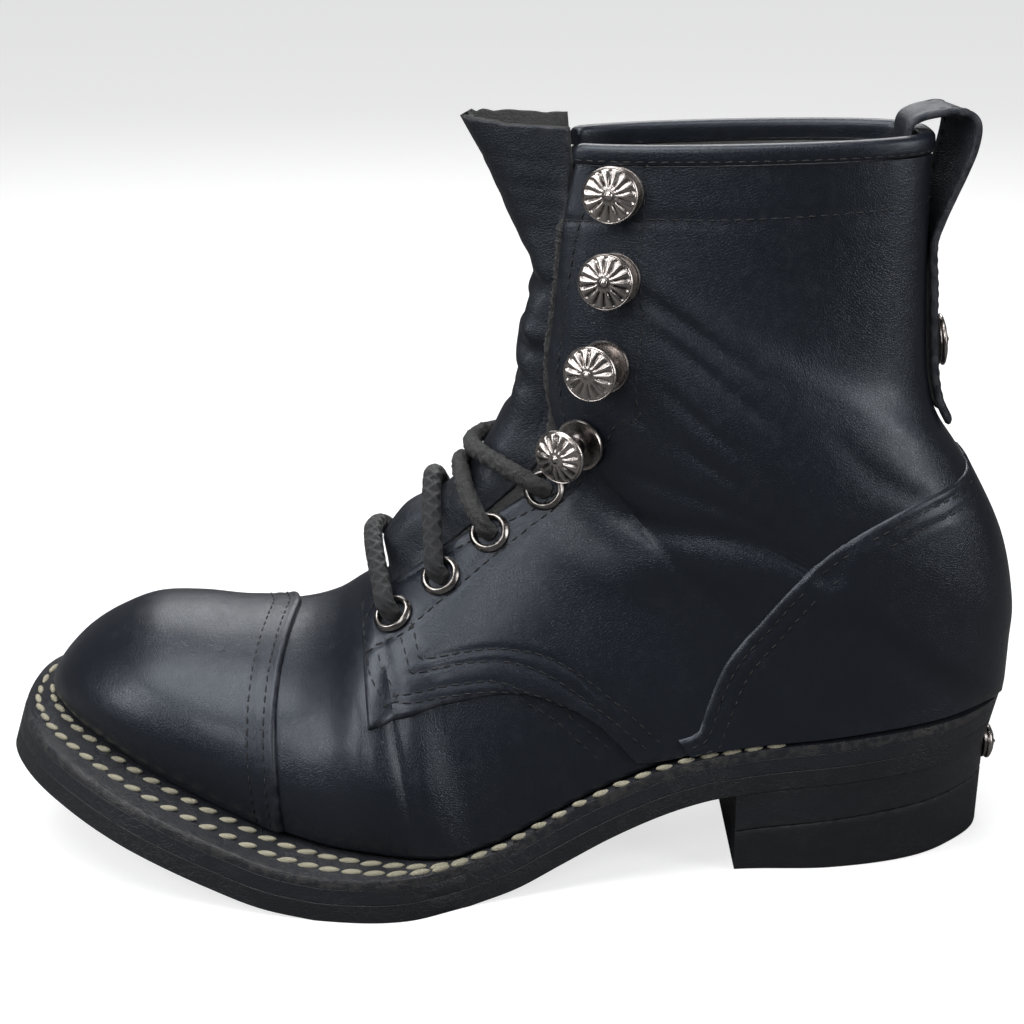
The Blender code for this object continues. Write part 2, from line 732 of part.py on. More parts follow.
def rear_columns(edge, stop):
    return [min(edge + (1 - edge) * share, stop) for share in REAR_COLUMNS]


def bowed(v, a):
    """Rows up to the cap's edge bow back over the sides."""
    if v > CAP_ROW:
        return v
    return v - 0.25 * math.sin(math.pi * abs(a)) * (v / CAP_ROW) ** 4


def across_rows(v, stop=1.0):
    """Every column of a row, from the lateral edge over the ridge to the medial edge."""
    if v == 0:
        count, last = len(FRONT_COLUMNS) + len(REAR_COLUMNS) + 1, section(v, 1)[4]
        return [math.asin(k / count) / last for k in range(count, -count - 1, -1)]
    lateral, medial = columns(v, 1, stop), columns(v, -1, stop)
    return lateral[::-1] + span(lateral[0], medial[0], 4)[1:-1] + medial


def make_upper():
    """The hollow wall: closed over the vamp, open along the throat, collar and underneath."""
    rows = VAMP_ROWS + QUARTER_ROWS
    grid = [[face_point(bowed(v, a), a) for a in across_rows(v)] for v in rows]
    throat = rows.index(THROAT_ROW)
    side_columns = len(FRONT_COLUMNS) + len(REAR_COLUMNS)
    middle = range(side_columns - 1, side_columns + 3)
    return grid_shell("upper", grid, LEATHER, -WALL,
                      keep=lambda i, j: i < throat or j not in middle)


def throat_half(v):
    """Half width of the throat; it draws in a little at its foot and more above the instep."""
    foot = 0.06 * THROAT_HALF * max(1 - (v - QUARTER_ROW), 0.0)
    u = min(max((v - 13) / 3, 0.0), 1.0)
    return THROAT_HALF - foot - THROAT_DRAW * u * u * (3 - 2 * u)


def make_toe_cap():
    rows = [v for v in VAMP_ROWS if 0 < v <= CAP_ROW]
    grid = [[face_point(bowed(v, a), a, SEAT) for a in across_rows(v, CAP_SHARE)] for v in rows]
    grid_shell("toe_cap", grid, LEATHER, OVERLAY)


def make_quarter(name, side):
    grid = []
    for v in QUARTER_ROWS:
        gap = SEAM_SHARE if v in COUNTER_ROWS else 0.0
        stop = back_gap(v) if v > HEEL_ROW else EDGE_SHARE
        row = [face_point(v, a, SEAT) for a in columns(v, side, stop, gap)]
        grid.append(row[::-side])
    top = QUARTER_ROWS.index(COUNTER_TOP)
    rear = range(len(REAR_COLUMNS)) if side > 0 else range(len(FRONT_COLUMNS) - 1, len(grid[0]))
    return grid_shell(name, grid, LEATHER, OVERLAY, keep=lambda i, j: i >= top or j not in rear)


def back_gap(v):
    """Largest a that leaves half a gap to the back seam."""
    _, _, half, full, last = section(v, 1)
    return 1 - math.asin((GAP / half) ** (1 / full[1])) / last


def make_counter():
    """Wraps the heel on both sides, from the feather up to its curved front and top edge."""
    points, faces = [], []
    for v in COUNTER_ROWS:
        stop = EDGE_SHARE if v < HEEL_ROW else 1.0
        for side in (1, -1):
            edge = seam(v, side)
            half = [face_point(v, side * a, SEAT + GAP / 2)
                    for a in [edge + SEAM_SHARE] + rear_columns(edge, stop)]
            points += half[::-side]
    half_width = len(REAR_COLUMNS) + 1
    width = 2 * half_width
    for i in range(len(COUNTER_ROWS) - 1):
        for j in range(width - 1):
            if j != half_width - 1:
                a = i * width + j
                faces.append((a, a + 1, a + width + 1, a + width))
    shell("heel_counter", points, faces, LEATHER, COUNTER)


def make_tongue():
    """Lies in the throat, its foot tucked under the vamp, and leans out over the collar."""
    under = WALL + 4 * GAP
    places = (1.0, 0.82, 0.45, 0.0, -0.45, -0.82, -1.0)
    rows = [row[0] for row in TONGUE_RISE] + [QUARTER_ROW, THROAT_ROW, 14.5, 19.3, 21.5]
    grid = []
    for v in sorted(rows):
        tuck = min(max((THROAT_ROW + 0.5 - v) / 0.4, 0.0), 1.0)
        rise = smooth(TONGUE_RISE, v) * LACE
        line = []
        for share in places:
            a = throat_angle(v, math.copysign(1, share), tongue_half(v) * abs(share))
            if abs(share) == 1.0:
                out = -TONGUE_DEPTH
            elif abs(share) > 0.5:
                out = -TONGUE_DEPTH * (0.4 + 0.6 * min(max(v - 13.5, 0.0), 1.0))
            else:
                out = rise * (1 - 0.7 * share * share)
            point = face_point(v, a, out * (1 - tuck) - under * tuck)
            line.append(point + lean_of(point.z, share))
        grid.append(line)
    collar = [point - lean_of(point.z, share) for point, share in zip(grid[-1], places)]
    for rise, spread in TONGUE_TOP:
        line = []
        for foot, share in zip(collar, places):
            up = foot.z + rise * TONGUE_OVER * (1.06 - 0.14 * abs(share))
            line.append(Vector((foot.x * spread, foot.y, up)) + lean_of(up, share))
        grid.append(line)
    grid_shell("tongue", grid, LEATHER, -TONGUE)


def tongue_half(v):
    """Half width of the tongue: tucked behind the throat's edges, then free between them."""
    u = min(max((v - 18) / 3, 0.0), 1.0)
    u = u * u * (3 - 2 * u)
    return TONGUE_HALF * (1 - u) + (throat_half(v) - 4 * GAP) * u


def lean_of(up, share):
    """How far the tongue leans forward of the ridge: its middle more than its sides."""
    u = max((up / COLLAR_HEIGHT - 0.835) / 0.2, 0.0)
    return Vector((0, -TONGUE_LEAN * u * (1 - 0.86 * abs(share) ** 1.6), 0))


def make_gusset(name, side):
    """A soft strip that joins the tongue's edge to the wall's inner face."""
    grid = []
    for v in [v for v in QUARTER_ROWS if 10.9 < v < 22.5]:
        line = []
        for share in (0.0, 0.5, 1.0):
            a = throat_angle(v, side, tongue_half(v) + 2 * GAP + GUSSET_WIDTH * share)
            line.append(face_point(v, a, -GUSSET_DEPTH - (1 - share) * 2 * GAP))
        grid.append(line[::-side])
    grid_shell(name, grid, SUEDE, -GUSSET)


def make_binding():
    """Rolled band on the rim, from one side of the throat round the back to the other."""
    low, high = -WALL - GAP, OVERLAY + 3 * GAP
    top = BINDING_HEIGHT
    outline_of = ((low, 0.0), (low, 0.6 * top), (0.6 * low, top), (0.5 * high, top),
                  (high, 0.6 * top), (high, 0.0))
    first, last = (throat_angle(LAST, side, throat_half(LAST)) for side in (1, -1))
    stations = span(first, 1.0, 15) + span(-1.0, last, 15)[1:]
    points = []
    for a in stations:
        place, ahead = face_point(LAST, a), face_point(LAST, a, 0.001)
        out = ahead - place
        out.z = 0
        out.normalize()
        for offset, rise in outline_of:
            points.append(place + out * offset + Vector((0, 0, rise + 2 * GAP)))
    ring = len(outline_of)
    faces = []
    for k in range(len(stations) - 1):
        for j in range(ring):
            m = (j + 1) % ring
            faces.append((k * ring + j, k * ring + m, (k + 1) * ring + m, (k + 1) * ring + j))
    end = (len(stations) - 1) * ring
    faces += [tuple(range(ring)), tuple(end + j for j in reversed(range(ring)))]
    new_object("collar_binding", close_up(mesh_from("collar_binding", points, faces)), LEATHER)


def back_path():
    """Middle line of the backstay and pull loop: rows of (step, along, up, twist, wrap)."""
    path = []
    out = OVERLAY + 5 * GAP + STRAP / 2
    for v in BACKSTAY_ROWS:
        before, after = edge_point(v - 0.2, 1), edge_point(v + 0.2, 1)
        run = math.hypot(after[0] - before[0], after[2] - before[2])
        place = edge_point(v, 1)
        path.append((place[0] - out * (after[2] - before[2]) / run,
                     place[2] + out * (after[0] - before[0]) / run, 0.0, 0.75))
    path += [(a * SOLE_LENGTH, height(u), twist, wrap) for a, u, twist, wrap in LOOP]
    return [(k, *place) for k, place in enumerate(path)]


def strap_frame(path, at):
    """Place of the strap's middle line in (along, up), and its direction there."""
    place = Vector((smooth(path, at, 1), smooth(path, at, 2)))
    ahead = Vector((smooth(path, at + 0.1, 1), smooth(path, at + 0.1, 2)))
    behind = Vector((smooth(path, at - 0.1, 1), smooth(path, at - 0.1, 2)))
    return place, (ahead - behind).normalized()


def back_sag(v, side):
    """How far the back of the shaft has curved forward, side away from its seam."""
    front, edge, half, full, _ = section(v, 1)
    return (front[0] - edge[0]) / 2 * (1 - math.sqrt(1 - (side / half) ** (2 / full[1])))


def make_pull_loop():
    """One strap: up the back seam, over in an arch and down inside the collar."""
    path = back_path()
    middle = SECTIONS[-1][8] * BALL_WIDTH
    half = STRAP_WIDTH / 2
    grid = []
    for at in span(0, len(BACKSTAY_ROWS) - 1, 5) + span(len(BACKSTAY_ROWS), len(path) - 1, 20):
        place, way = strap_frame(path, at)
        twist, wrap = smooth(path, at, 3), smooth(path, at, 4)
        line = []
        for share in (-1.0, -0.4, 0.4, 1.0):
            v = min(BACKSTAY_ROWS[0] + 0.39 * at, BACKSTAY_ROWS[-1])
            sag = back_sag(v, abs(share) * half) * wrap
            line.append(world(place.x + way.y * sag - share * twist * half,
                              middle + share * half * math.sqrt(1 - twist * twist),
                              place.y - way.x * sag))
        grid.append(line)
    grid_shell("pull_loop", grid, LEATHER, STRAP, centred=True)


# Fittings

def make_eyelet(name, spot):
    v, a = spot
    hole, rim = EYELET_HOLE / 2, EYELET_OUTER / 2
    barrel = hole + EYELET_WALL
    depth = OVERLAY + GAP + WALL
    made = turned_solid(name, ((hole, EYELET_RIM), (0.9 * rim, EYELET_RIM), (rim, EYELET_RIM / 3),
                               (rim, 0.0), (barrel, 0.0), (barrel, -depth), (hole, -depth)), NICKEL, 10)
    made.matrix_world = standing(face_point(v, a, OVERLAY + 3 * GAP), outward(v, a))


def outward(v, a):
    return face_point(v, a, 0.001) - face_point(v, a)


def make_hole_cutter(name, spots):
    """Short bars through the wall where the eyelets' barrels pass."""
    shape = bmesh.new()
    radius = EYELET_HOLE / 2 + EYELET_WALL + GAP
    for v, a in spots:
        bmesh.ops.create_cone(shape, cap_ends=True, segments=10, radius1=radius, radius2=radius,
                              depth=4 * radius, matrix=standing(face_point(v, a), outward(v, a)))
    mesh = bpy.data.meshes.new(name)
    shape.to_mesh(mesh)
    shape.free()
    cutter = bpy.data.objects.new(name, mesh)
    CUTTERS.objects.link(cutter)
    cutter.hide_render = True
    cutter.display_type = "WIRE"
    return cutter


def cut(made, cutter):
    flat = made.modifiers.new("Flat facets", "TRIANGULATE")
    flat.quad_method = "FIXED"
    boolean = made.modifiers.new("Eyelet holes", "BOOLEAN")
    boolean.operation = "DIFFERENCE"
    boolean.solver = "EXACT"
    boolean.object = cutter


def make_stud(name, spot, lift):
    """Lace stud: a flat base, a post and a domed head."""
    v, a = spot
    head, base, post = STUD_HEAD / 2, STUD_BASE / 2, STUD_POST / 2
    crown = STUD_CROWN
    profile = ((0.0, STUD_REACH + crown), (0.6 * head, STUD_REACH + 0.83 * crown),
               (head, STUD_REACH + 0.26 * crown), (0.92 * head, STUD_REACH),
               (post, STUD_REACH - 0.1 * crown), (post, 0.35 * crown), (base, 0.25 * crown),
               (base, 0.0), (0.0, 0.0))
    made = turned_solid(name, profile, SILVER, 10)
    made.matrix_world = standing(face_point(v, a, OVERLAY + lift), outward(v, a))


def lace_route(spots, crest):
    """From inside one eyelet, over its rim and across the tongue to the other."""
    over = OVERLAY + EYELET_RIM + LACE / 2 + 5 * GAP
    middle, rise = crest
    ends = []
    for v, a in spots:
        half = [face_point(v, a, depth) for depth in (0.04 * LACE, 0.8 * LACE)]
        for share in (0.96, 0.8, 0.6, 0.4, 0.2):
            place = share ** 1.5
            half.append(face_point(middle + (v - middle) * place, a * share,
                                   rise * LACE + (over - rise * LACE) * min(share / 0.75, 1.0) ** 2))
        ends.append(half)
    return ends[0] + [face_point(middle, 0.0, rise * LACE)] + ends[1][::-1]


def make_lace_bar(name, route):
    curve = bpy.data.curves.new(name, "CURVE")
    curve.dimensions = "3D"
    curve.bevel_depth = LACE / 2
    curve.bevel_resolution = 2
    curve.use_fill_caps = True
    rows = [(k, *p) for k, p in enumerate(route)]
    places = [tuple(smooth(rows, at, column) for column in (1, 2, 3))
              for at in span(0, len(route) - 1, 12)]
    spline = curve.splines.new("POLY")
    spline.points.add(len(places) - 1)
    for point, place in zip(spline.points, places):
        point.co = (*place, 1)
    made = bpy.data.objects.new(name, curve)
    PARTS.objects.link(made)
    curve.materials.append(CORD)


def mirrored(spot, side):
    """The same place on one side of the foot: as far from the ridge as the lateral one."""
    v, a = spot
    half = abs(base_point(v, a)[1] - front_point(v)[1])
    return (v, a) if side > 0 else (v, throat_angle(v, side, half))


def make_fittings(upper, quarters):
    for side, word in ((1, "lateral"), (-1, "medial")):
        spots = [mirrored(locate(a, u, 1), side) for a, u in EYELETS]
        cutter = make_hole_cutter("eyelet_holes_" + word, spots)
        cut(upper, cutter)
        cut(quarters[side], cutter)
        for k, spot in enumerate(spots):
            make_eyelet(f"eyelet_{word}_{k + 1}", spot)
        for k, (a, u) in enumerate(STUDS):
            lift = STUD_LIFTS[k]
            make_stud(f"lace_stud_{word}_{k + 1}", mirrored(locate(a, u, 1), side), lift)
    for k, ((a, u), crest) in enumerate(zip(EYELETS, CRESTS)):
        pair = [mirrored(locate(a, u, 1), side) for side in (1, -1)]
        make_lace_bar(f"lace_bar_{k + 1}", lace_route(pair, crest))


def domed_disc(name, radius, rise, place, way):
    """A plain domed disc on a surface that runs along way, seen from the side."""
    made = turned_solid(name, ((0, rise), (0.6 * radius, 0.86 * rise), (0.9 * radius, 0.5 * rise),
                               (radius, 0.15 * rise), (radius, 0), (0, 0)), SILVER, 14)
    made.matrix_world = standing(place, Vector((0, way.y, way.x)))


def make_ornaments():
    """One on the backstay and a smaller one on the rear of the heel."""
    middle = SECTIONS[-1][8] * BALL_WIDTH
    place, way = strap_frame(back_path(), DISC_STEP)
    place += Vector((-way.y, way.x)) * (STRAP / 2 + 3 * GAP)
    domed_disc("backstay_disc", ORNAMENT / 2, ORNAMENT_RISE, world(place.x, middle, place.y), way)

    low = Vector((SEAT_LEAN + HEEL_DRAW * 0.5, lift_top(0.0)))
    high = Vector((SEAT_LEAN + HEEL_DRAW * 0.25, underside(0.0)))
    way = (high - low).normalized()
    place = (low + high) / 2 + Vector((-way.y, way.x)) * GAP
    domed_disc("heel_disc", HEEL_STUD / 2, HEEL_STUD_RISE, world(place.x, outline(0.0, 1), place.y), way)


# Scene

for old in list(bpy.data.objects):
    bpy.data.objects.remove(old, do_unlink=True)

PARTS = bpy.data.collections.new("lace_up_boot")
CUTTERS = bpy.data.collections.new("cutters")
bpy.context.scene.collection.children.link(PARTS)
bpy.context.scene.collection.children.link(CUTTERS)

LEATHER = material("black_leather", (0.012, 0.014, 0.020), 0.42)
LINING = material("lining_leather", (0.020, 0.018, 0.018), 0.50)
SUEDE = material("black_suede", (0.010, 0.010, 0.011), 0.95)
SOLE_LEATHER = material("edge_dressed_leather", (0.020, 0.022, 0.030), 0.45)
RUBBER = material("black_rubber", (0.018, 0.019, 0.024), 0.55)
NICKEL = material("dark_nickel", (0.30, 0.28, 0.27), 0.30, 1.0)
SILVER = material("antique_silver", (0.55, 0.52, 0.50), 0.32, 1.0)
CORD = material("braided_cord", (0.012, 0.013, 0.016), 0.70)

make_sole()
upper = make_upper()
make_toe_cap()
quarters = {1: make_quarter("quarter_lateral", 1), -1: make_quarter("quarter_medial", -1)}
make_counter()
make_tongue()
make_gusset("gusset_lateral", 1)
make_gusset("gusset_medial", -1)
make_binding()
make_pull_loop()
make_fittings(upper, quarters)
make_ornaments()
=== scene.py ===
# Lace-up boot, left foot: what is seen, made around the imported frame.
# Metres, +Z up, toe to -Y, outer (lateral) side to +X.
# Places on the boot are first (along, side, up), along running from the heel to the toe.

import math
from functools import lru_cache

import bmesh
import bpy
import numpy as np
from mathutils import Matrix, Vector, noise
from mathutils.bvhtree import BVHTree
from mathutils.kdtree import KDTree

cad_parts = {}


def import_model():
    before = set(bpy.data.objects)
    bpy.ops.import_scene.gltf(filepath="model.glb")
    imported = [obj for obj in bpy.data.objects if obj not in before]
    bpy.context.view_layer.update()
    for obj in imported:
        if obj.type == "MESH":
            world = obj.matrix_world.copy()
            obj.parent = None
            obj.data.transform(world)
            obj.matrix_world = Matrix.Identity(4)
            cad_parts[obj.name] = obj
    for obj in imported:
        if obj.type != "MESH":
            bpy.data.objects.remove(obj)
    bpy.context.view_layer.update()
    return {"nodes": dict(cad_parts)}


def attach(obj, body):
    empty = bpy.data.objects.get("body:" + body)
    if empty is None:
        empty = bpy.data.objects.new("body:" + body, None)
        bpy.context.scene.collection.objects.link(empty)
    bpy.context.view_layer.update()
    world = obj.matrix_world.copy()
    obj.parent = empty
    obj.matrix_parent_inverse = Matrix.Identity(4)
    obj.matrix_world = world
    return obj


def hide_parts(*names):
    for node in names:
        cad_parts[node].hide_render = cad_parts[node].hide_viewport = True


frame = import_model()
print("frame loaded:", len(frame["nodes"]), "nodes")

# Sizes of the last and the sole, the same as the solids'
boot = dict(length=0.300, ball=0.116, instep=0.078, collar=0.2045, shaft=0.060, fullness=0.80,
            square=0.20, wall=0.0022, overlay=0.0013, counter=0.0019, seat=0.0004)
soleUnit = dict(outsole=0.0055, midsole=0.0042, welt=0.0027, margin=0.015, weltRise=0.25,
                toeSpring=0.0246, toeLean=0.13, breast=0.0249, rear=0.0308, roll=0.115,
                seatLean=0.0038, featherToe=0.011, featherHeel=0.0026)
gap = 0.0003
stack = soleUnit["outsole"] + soleUnit["midsole"] + soleUnit["welt"] + 2 * gap

outlineTable = np.array((  # share of the length, lateral and medial shares of the ball width
    (0.000, -0.026, -0.026), (0.020, 0.108, -0.150), (0.076, 0.238, -0.250),
    (0.166, 0.306, -0.306), (0.265, 0.315, -0.285), (0.407, 0.384, -0.240),
    (0.530, 0.486, -0.288), (0.593, 0.568, -0.345), (0.656, 0.572, -0.400),
    (0.762, 0.506, -0.434), (0.868, 0.402, -0.415), (0.947, 0.232, -0.340),
    (0.9885, 0.052, -0.240), (1.000, -0.085, -0.085)))
marginTable = (  # welt outside the upper: share of the length, lateral, medial
    (0.00, 0.17, 0.17), (0.30, 0.20, 0.20), (0.50, 0.26, 0.24), (0.60, 0.55, 0.36),
    (0.68, 0.80, 0.50), (0.75, 0.95, 0.62), (0.85, 1.00, 0.72), (1.00, 0.85, 0.75))
toeCurve = ((0.680, 0.000), (0.735, 0.080), (0.785, 0.250), (0.851, 0.510), (0.920, 0.780),
            (0.960, 0.915), (1.000, 1.000))
waistCurve = ((0.272, 1.000), (0.305, 0.955), (0.348, 0.825), (0.397, 0.610), (0.447, 0.340),
              (0.490, 0.120), (0.535, 0.000))
seatCurve = ((0.000, 1.000), (0.090, 0.860), (0.180, 0.500), (0.272, 0.000))

nan = float("nan")
sections = np.array((  # ridge along, up, edge along, up, bulge, shaft, mix, fullness, ridge side
    (0.9560, 0.550, 0.9985, nan, 1.02, 0.60, 0.00, 0.88, -0.085),
    (0.9490, 0.606, 0.9820, nan, 1.04, 0.60, 0.00, 0.88, -0.085),
    (0.9370, 0.670, 0.9550, nan, 1.05, 0.60, 0.00, 0.88, -0.085),
    (0.9180, 0.742, 0.9230, nan, 1.06, 0.60, 0.00, 0.88, -0.085),
    (0.8910, 0.810, 0.8890, nan, 1.06, 0.60, 0.00, 0.88, -0.080),
    (0.8540, 0.868, 0.8570, nan, 1.06, 0.60, 0.00, 0.89, -0.076),
    (0.8100, 0.876, 0.8240, nan, 1.06, 0.60, 0.00, 0.91, -0.072),
    (0.7590, 0.862, 0.7860, nan, 1.05, 0.60, 0.00, 0.93, -0.068),
    (0.7040, 0.878, 0.7450, nan, 1.05, 0.60, 0.00, 0.95, -0.064),
    (0.6680, 0.922, 0.6900, nan, 1.05, 0.70, 0.00, 0.98, -0.056),
    (0.6390, 1.000, 0.6330, nan, 1.06, 0.80, 0.00, 1.02, -0.043),
    (0.5980, 1.110, 0.5430, nan, 1.06, 0.90, 0.25, 1.08, -0.026),
    (0.5520, 1.227, 0.4400, nan, 1.05, 1.00, 0.60, 1.06, -0.013),
    (0.5110, 1.337, 0.3310, nan, 1.04, 1.06, 0.90, 0.98, -0.009),
    (0.4860, 1.439, 0.2250, nan, 1.03, 1.12, 1.00, 0.90, -0.009),
    (0.4760, 1.533, 0.1190, nan, 1.03, 1.16, 1.00, 0.85, -0.009),
    (0.4690, 1.612, 0.0330, nan, 1.03, 1.18, 1.00, 0.80, -0.009),
    (0.4640, 1.682, 0.0080, 0.770, 1.00, 1.17, 1.00, 0.76, -0.009),
    (0.4610, 1.745, 0.0076, 0.950, 1.00, 1.13, 1.00, 0.72, -0.009),
    (0.4590, 1.800, 0.0228, 1.130, 1.00, 1.06, 1.00, 0.68, -0.009),
    (0.4570, 1.855, 0.0585, 1.300, 1.00, 0.98, 1.00, 0.64, -0.009),
    (0.4550, 1.906, 0.0960, 1.455, 1.00, 0.90, 1.00, 0.60, -0.009),
    (0.4530, 1.953, 0.1060, 1.706, 1.00, 0.82, 1.00, 0.56, -0.009),
    (0.4510, 2.000, 0.1080, 2.016, 1.00, 0.75, 1.00, 0.52, -0.009)))
lastRow = len(sections) - 1.0
rows = dict(cap=8.0, quarter=10.0, throat=10.3, counter=13.08, heel=16.35, counterTop=20.1)
quarterEdge = ((0.665, 0.655), (0.620, 0.685), (0.563, 0.731), (0.513, 0.756), (0.477, 0.744),
               (0.440, 0.686), (0.407, 0.603), (0.377, 0.468), (0.340, 0.470))
counterEdge = ((0.322, 0.440), (0.318, 0.560), (0.307, 0.700), (0.290, 0.850), (0.263, 0.985),
               (0.225, 1.105), (0.178, 1.192), (0.120, 1.258), (0.070, 1.290), (0.035, 1.325))


def smooth(table, at, column=1):
    table = np.asarray(table, float)
    xs, ys = table[:, 0], table[:, column]
    at = np.clip(at, xs[0], xs[-1])
    i = np.clip(np.searchsorted(xs, at) - 1, 0, len(xs) - 2)
    k = np.arange(len(xs))
    low, high = np.maximum(k - 1, 0), np.minimum(k + 1, len(xs) - 1)
    slope = (ys[high] - ys[low]) / (xs[high] - xs[low])
    step = xs[i + 1] - xs[i]
    u = (at - xs[i]) / step
    return ((2 * u**3 - 3 * u**2 + 1) * ys[i] + (u**3 - 2 * u**2 + u) * step * slope[i]
            + (3 * u**2 - 2 * u**3) * ys[i + 1] + (u**3 - u**2) * step * slope[i + 1])


def ease(value, low=0.0, high=1.0):
    u = np.clip((np.asarray(value, float) - low) / (high - low), 0.0, 1.0)
    return u * u * (3 - 2 * u)


def unit(rowsHere):
    return rowsHere / np.linalg.norm(rowsHere, axis=-1, keepdims=True)


def turned(share):
    return np.arccos(1 - 2 * np.clip(share, 0.0, 1.0))


roundOutline = np.column_stack((turned(outlineTable[:, 0]), outlineTable[:, 1:]))


def outline(share, side):
    return smooth(roundOutline, turned(share), 1 if side > 0 else 2) * boot["ball"]


evenly = np.linspace(0, 1, 61)
midSide = 0.5 * (outline(evenly, 1).max() + outline(evenly, -1).min())


def world(place):
    place = np.asarray(place, float)
    return np.stack((place[..., 1] - midSide, boot["length"] / 2 - place[..., 0], place[..., 2]), -1)


def height(share):
    if share <= 1:
        return share * boot["instep"]
    return boot["instep"] + (share - 1) * (boot["collar"] - boot["instep"])


def underside(share):
    share = np.asarray(share, float)
    breast = soleUnit["breast"]
    seat = breast + smooth(seatCurve, share) * (soleUnit["rear"] - breast)
    front = np.where(share >= 0.535, 0.0, smooth(waistCurve, share) * breast)
    rest = np.where(share >= 0.272, front, seat)
    return np.where(share >= 0.68, smooth(toeCurve, share) * soleUnit["toeSpring"], rest)


def solePoint(share, side, rise):
    share = np.asarray(share, float)
    low, high = np.maximum(share - 0.02, 0.0), np.minimum(share + 0.02, 1.0)
    lean = np.arctan2(underside(high) - underside(low), (high - low) * boot["length"])
    lean = lean + soleUnit["toeLean"] * np.maximum((share - 0.93) / 0.07, 0.0) ** 2
    base = underside(share) + soleUnit["roll"] * ease(share, 0.71, 0.93) * (outline(share, 1) - side)
    rear = np.maximum(1 - share / 0.12, 0.0) ** 2 * np.maximum(1 - rise / stack, 0.0)
    along = share * boot["length"] - rise * np.sin(lean) + soleUnit["seatLean"] * rear
    return np.stack(np.broadcast_arrays(along, side, base + rise * np.cos(lean)), -1)


def margin(share, side):
    width = smooth(marginTable, share, 1 if side > 0 else 2) * soleUnit["margin"]
    width = np.where(share <= 0.0, soleUnit["featherHeel"], width)
    return np.where(share >= 1.0, soleUnit["featherToe"], width)


def insetOutline(share, side, inset):
    low = inset(0.0, side) / boot["length"]
    high = 1 - inset(1.0, side) / boot["length"]
    at = np.clip((share - low) / (high - low), 0.0, 1.0)
    before, after = np.maximum(at - 0.004, 0.0), np.minimum(at + 0.004, 1.0)
    slope = (outline(after, side) - outline(before, side)) / ((after - before) * boot["length"])
    centre = 0.5 * (outline(at, 1) + outline(at, -1))
    half = np.abs(outline(at, side) - centre)
    return centre + side * np.maximum(half - inset(at, side) / np.hypot(1, slope), half * 0.5)


def feather(share, side, inside=0.0, rise=None):
    across = insetOutline(share, side, lambda s, d: margin(s, d) + inside)
    if rise is None:
        rise = stack + soleUnit["weltRise"] * margin(share, side) + 3 * gap
    return solePoint(share, across, rise)


rowTables = [np.column_stack((np.arange(len(sections)), sections[:, c])) for c in range(9)]
openRows = np.isnan(sections[:, 3])
featherRows = np.vstack((rowTables[2][openRows], (rows["heel"], 0.0)))
reachShare = 1 - soleUnit["featherToe"] / boot["length"]
heelShare = soleUnit["featherHeel"] / boot["length"]


def rowValue(v, column):
    return float(smooth(rowTables[column], v))


@lru_cache(maxsize=None)
def frontPoint(v):
    tip = feather(reachShare, 1)
    point = np.array((rowValue(v, 0) * boot["length"], rowValue(v, 8) * boot["ball"],
                      height(rowValue(v, 1))))
    return point if v >= 1 else tip + (point - tip) * v


@lru_cache(maxsize=None)
def edgePoint(v, side):
    if v <= rows["heel"]:
        share = float(smooth(featherRows, v))
        return feather(heelShare + share * (reachShare - heelShare), side)
    start = feather(heelShare, side)
    table = [(rows["heel"], start[0], start[2])]
    table += [(k, sections[k, 2] * boot["length"], height(sections[k, 3]))
              for k in np.flatnonzero(~openRows)]
    return np.array((smooth(table, v, 1), rowValue(v, 8) * boot["ball"], smooth(table, v, 2)))


@lru_cache(maxsize=None)
def section(v, side):
    front, edge = frontPoint(v), edgePoint(v, side)
    reach = abs(edge[1] - front[1])
    mix = rowValue(v, 6)
    half = (1 - mix) * rowValue(v, 4) * reach + mix * rowValue(v, 5) * boot["shaft"] / 2
    half = max(half, reach * 1.01, 0.0005)
    full = rowValue(v, 7)
    square = boot["square"] * min(max((v - 17) / (lastRow - 17), 0.0), 1.0)
    rear = (1 - mix) * full + mix * (boot["fullness"] - square)
    last = math.pi - math.asin(min((reach / half) ** (1 / rear), 1.0))
    return front, edge, half, (full, rear), last


def basePoints(v, a):
    a = np.atleast_1d(np.asarray(a, float))
    found = np.empty((len(a), 3))
    for side, pick in ((1, a >= 0), (-1, a < 0)):
        if not pick.any():
            continue
        front, edge, half, full, last = section(v, side)
        angle = np.abs(a[pick]) * last
        along = (1 - np.cos(angle)) / (1 - math.cos(last))
        power = np.where(angle < math.pi / 2, full[0], full[1])
        bow = half * np.maximum(np.sin(angle), 0.0) ** power
        found[pick] = front + (edge - front) * along[:, None]
        found[pick, 1] = front[1] + side * bow
    return found


def normals(v, a):
    a = np.atleast_1d(np.asarray(a, float))
    v0, v1 = round(max(v - 0.15, 0.02), 4), round(min(v + 0.15, lastRow), 4)
    across = basePoints(v, np.minimum(a + 0.02, 1.0)) - basePoints(v, np.maximum(a - 0.02, -1.0))
    up = basePoints(v1, a) - basePoints(v0, a)
    found = np.cross(across, up)
    return found / np.maximum(np.linalg.norm(found, axis=1), 1e-12)[:, None]


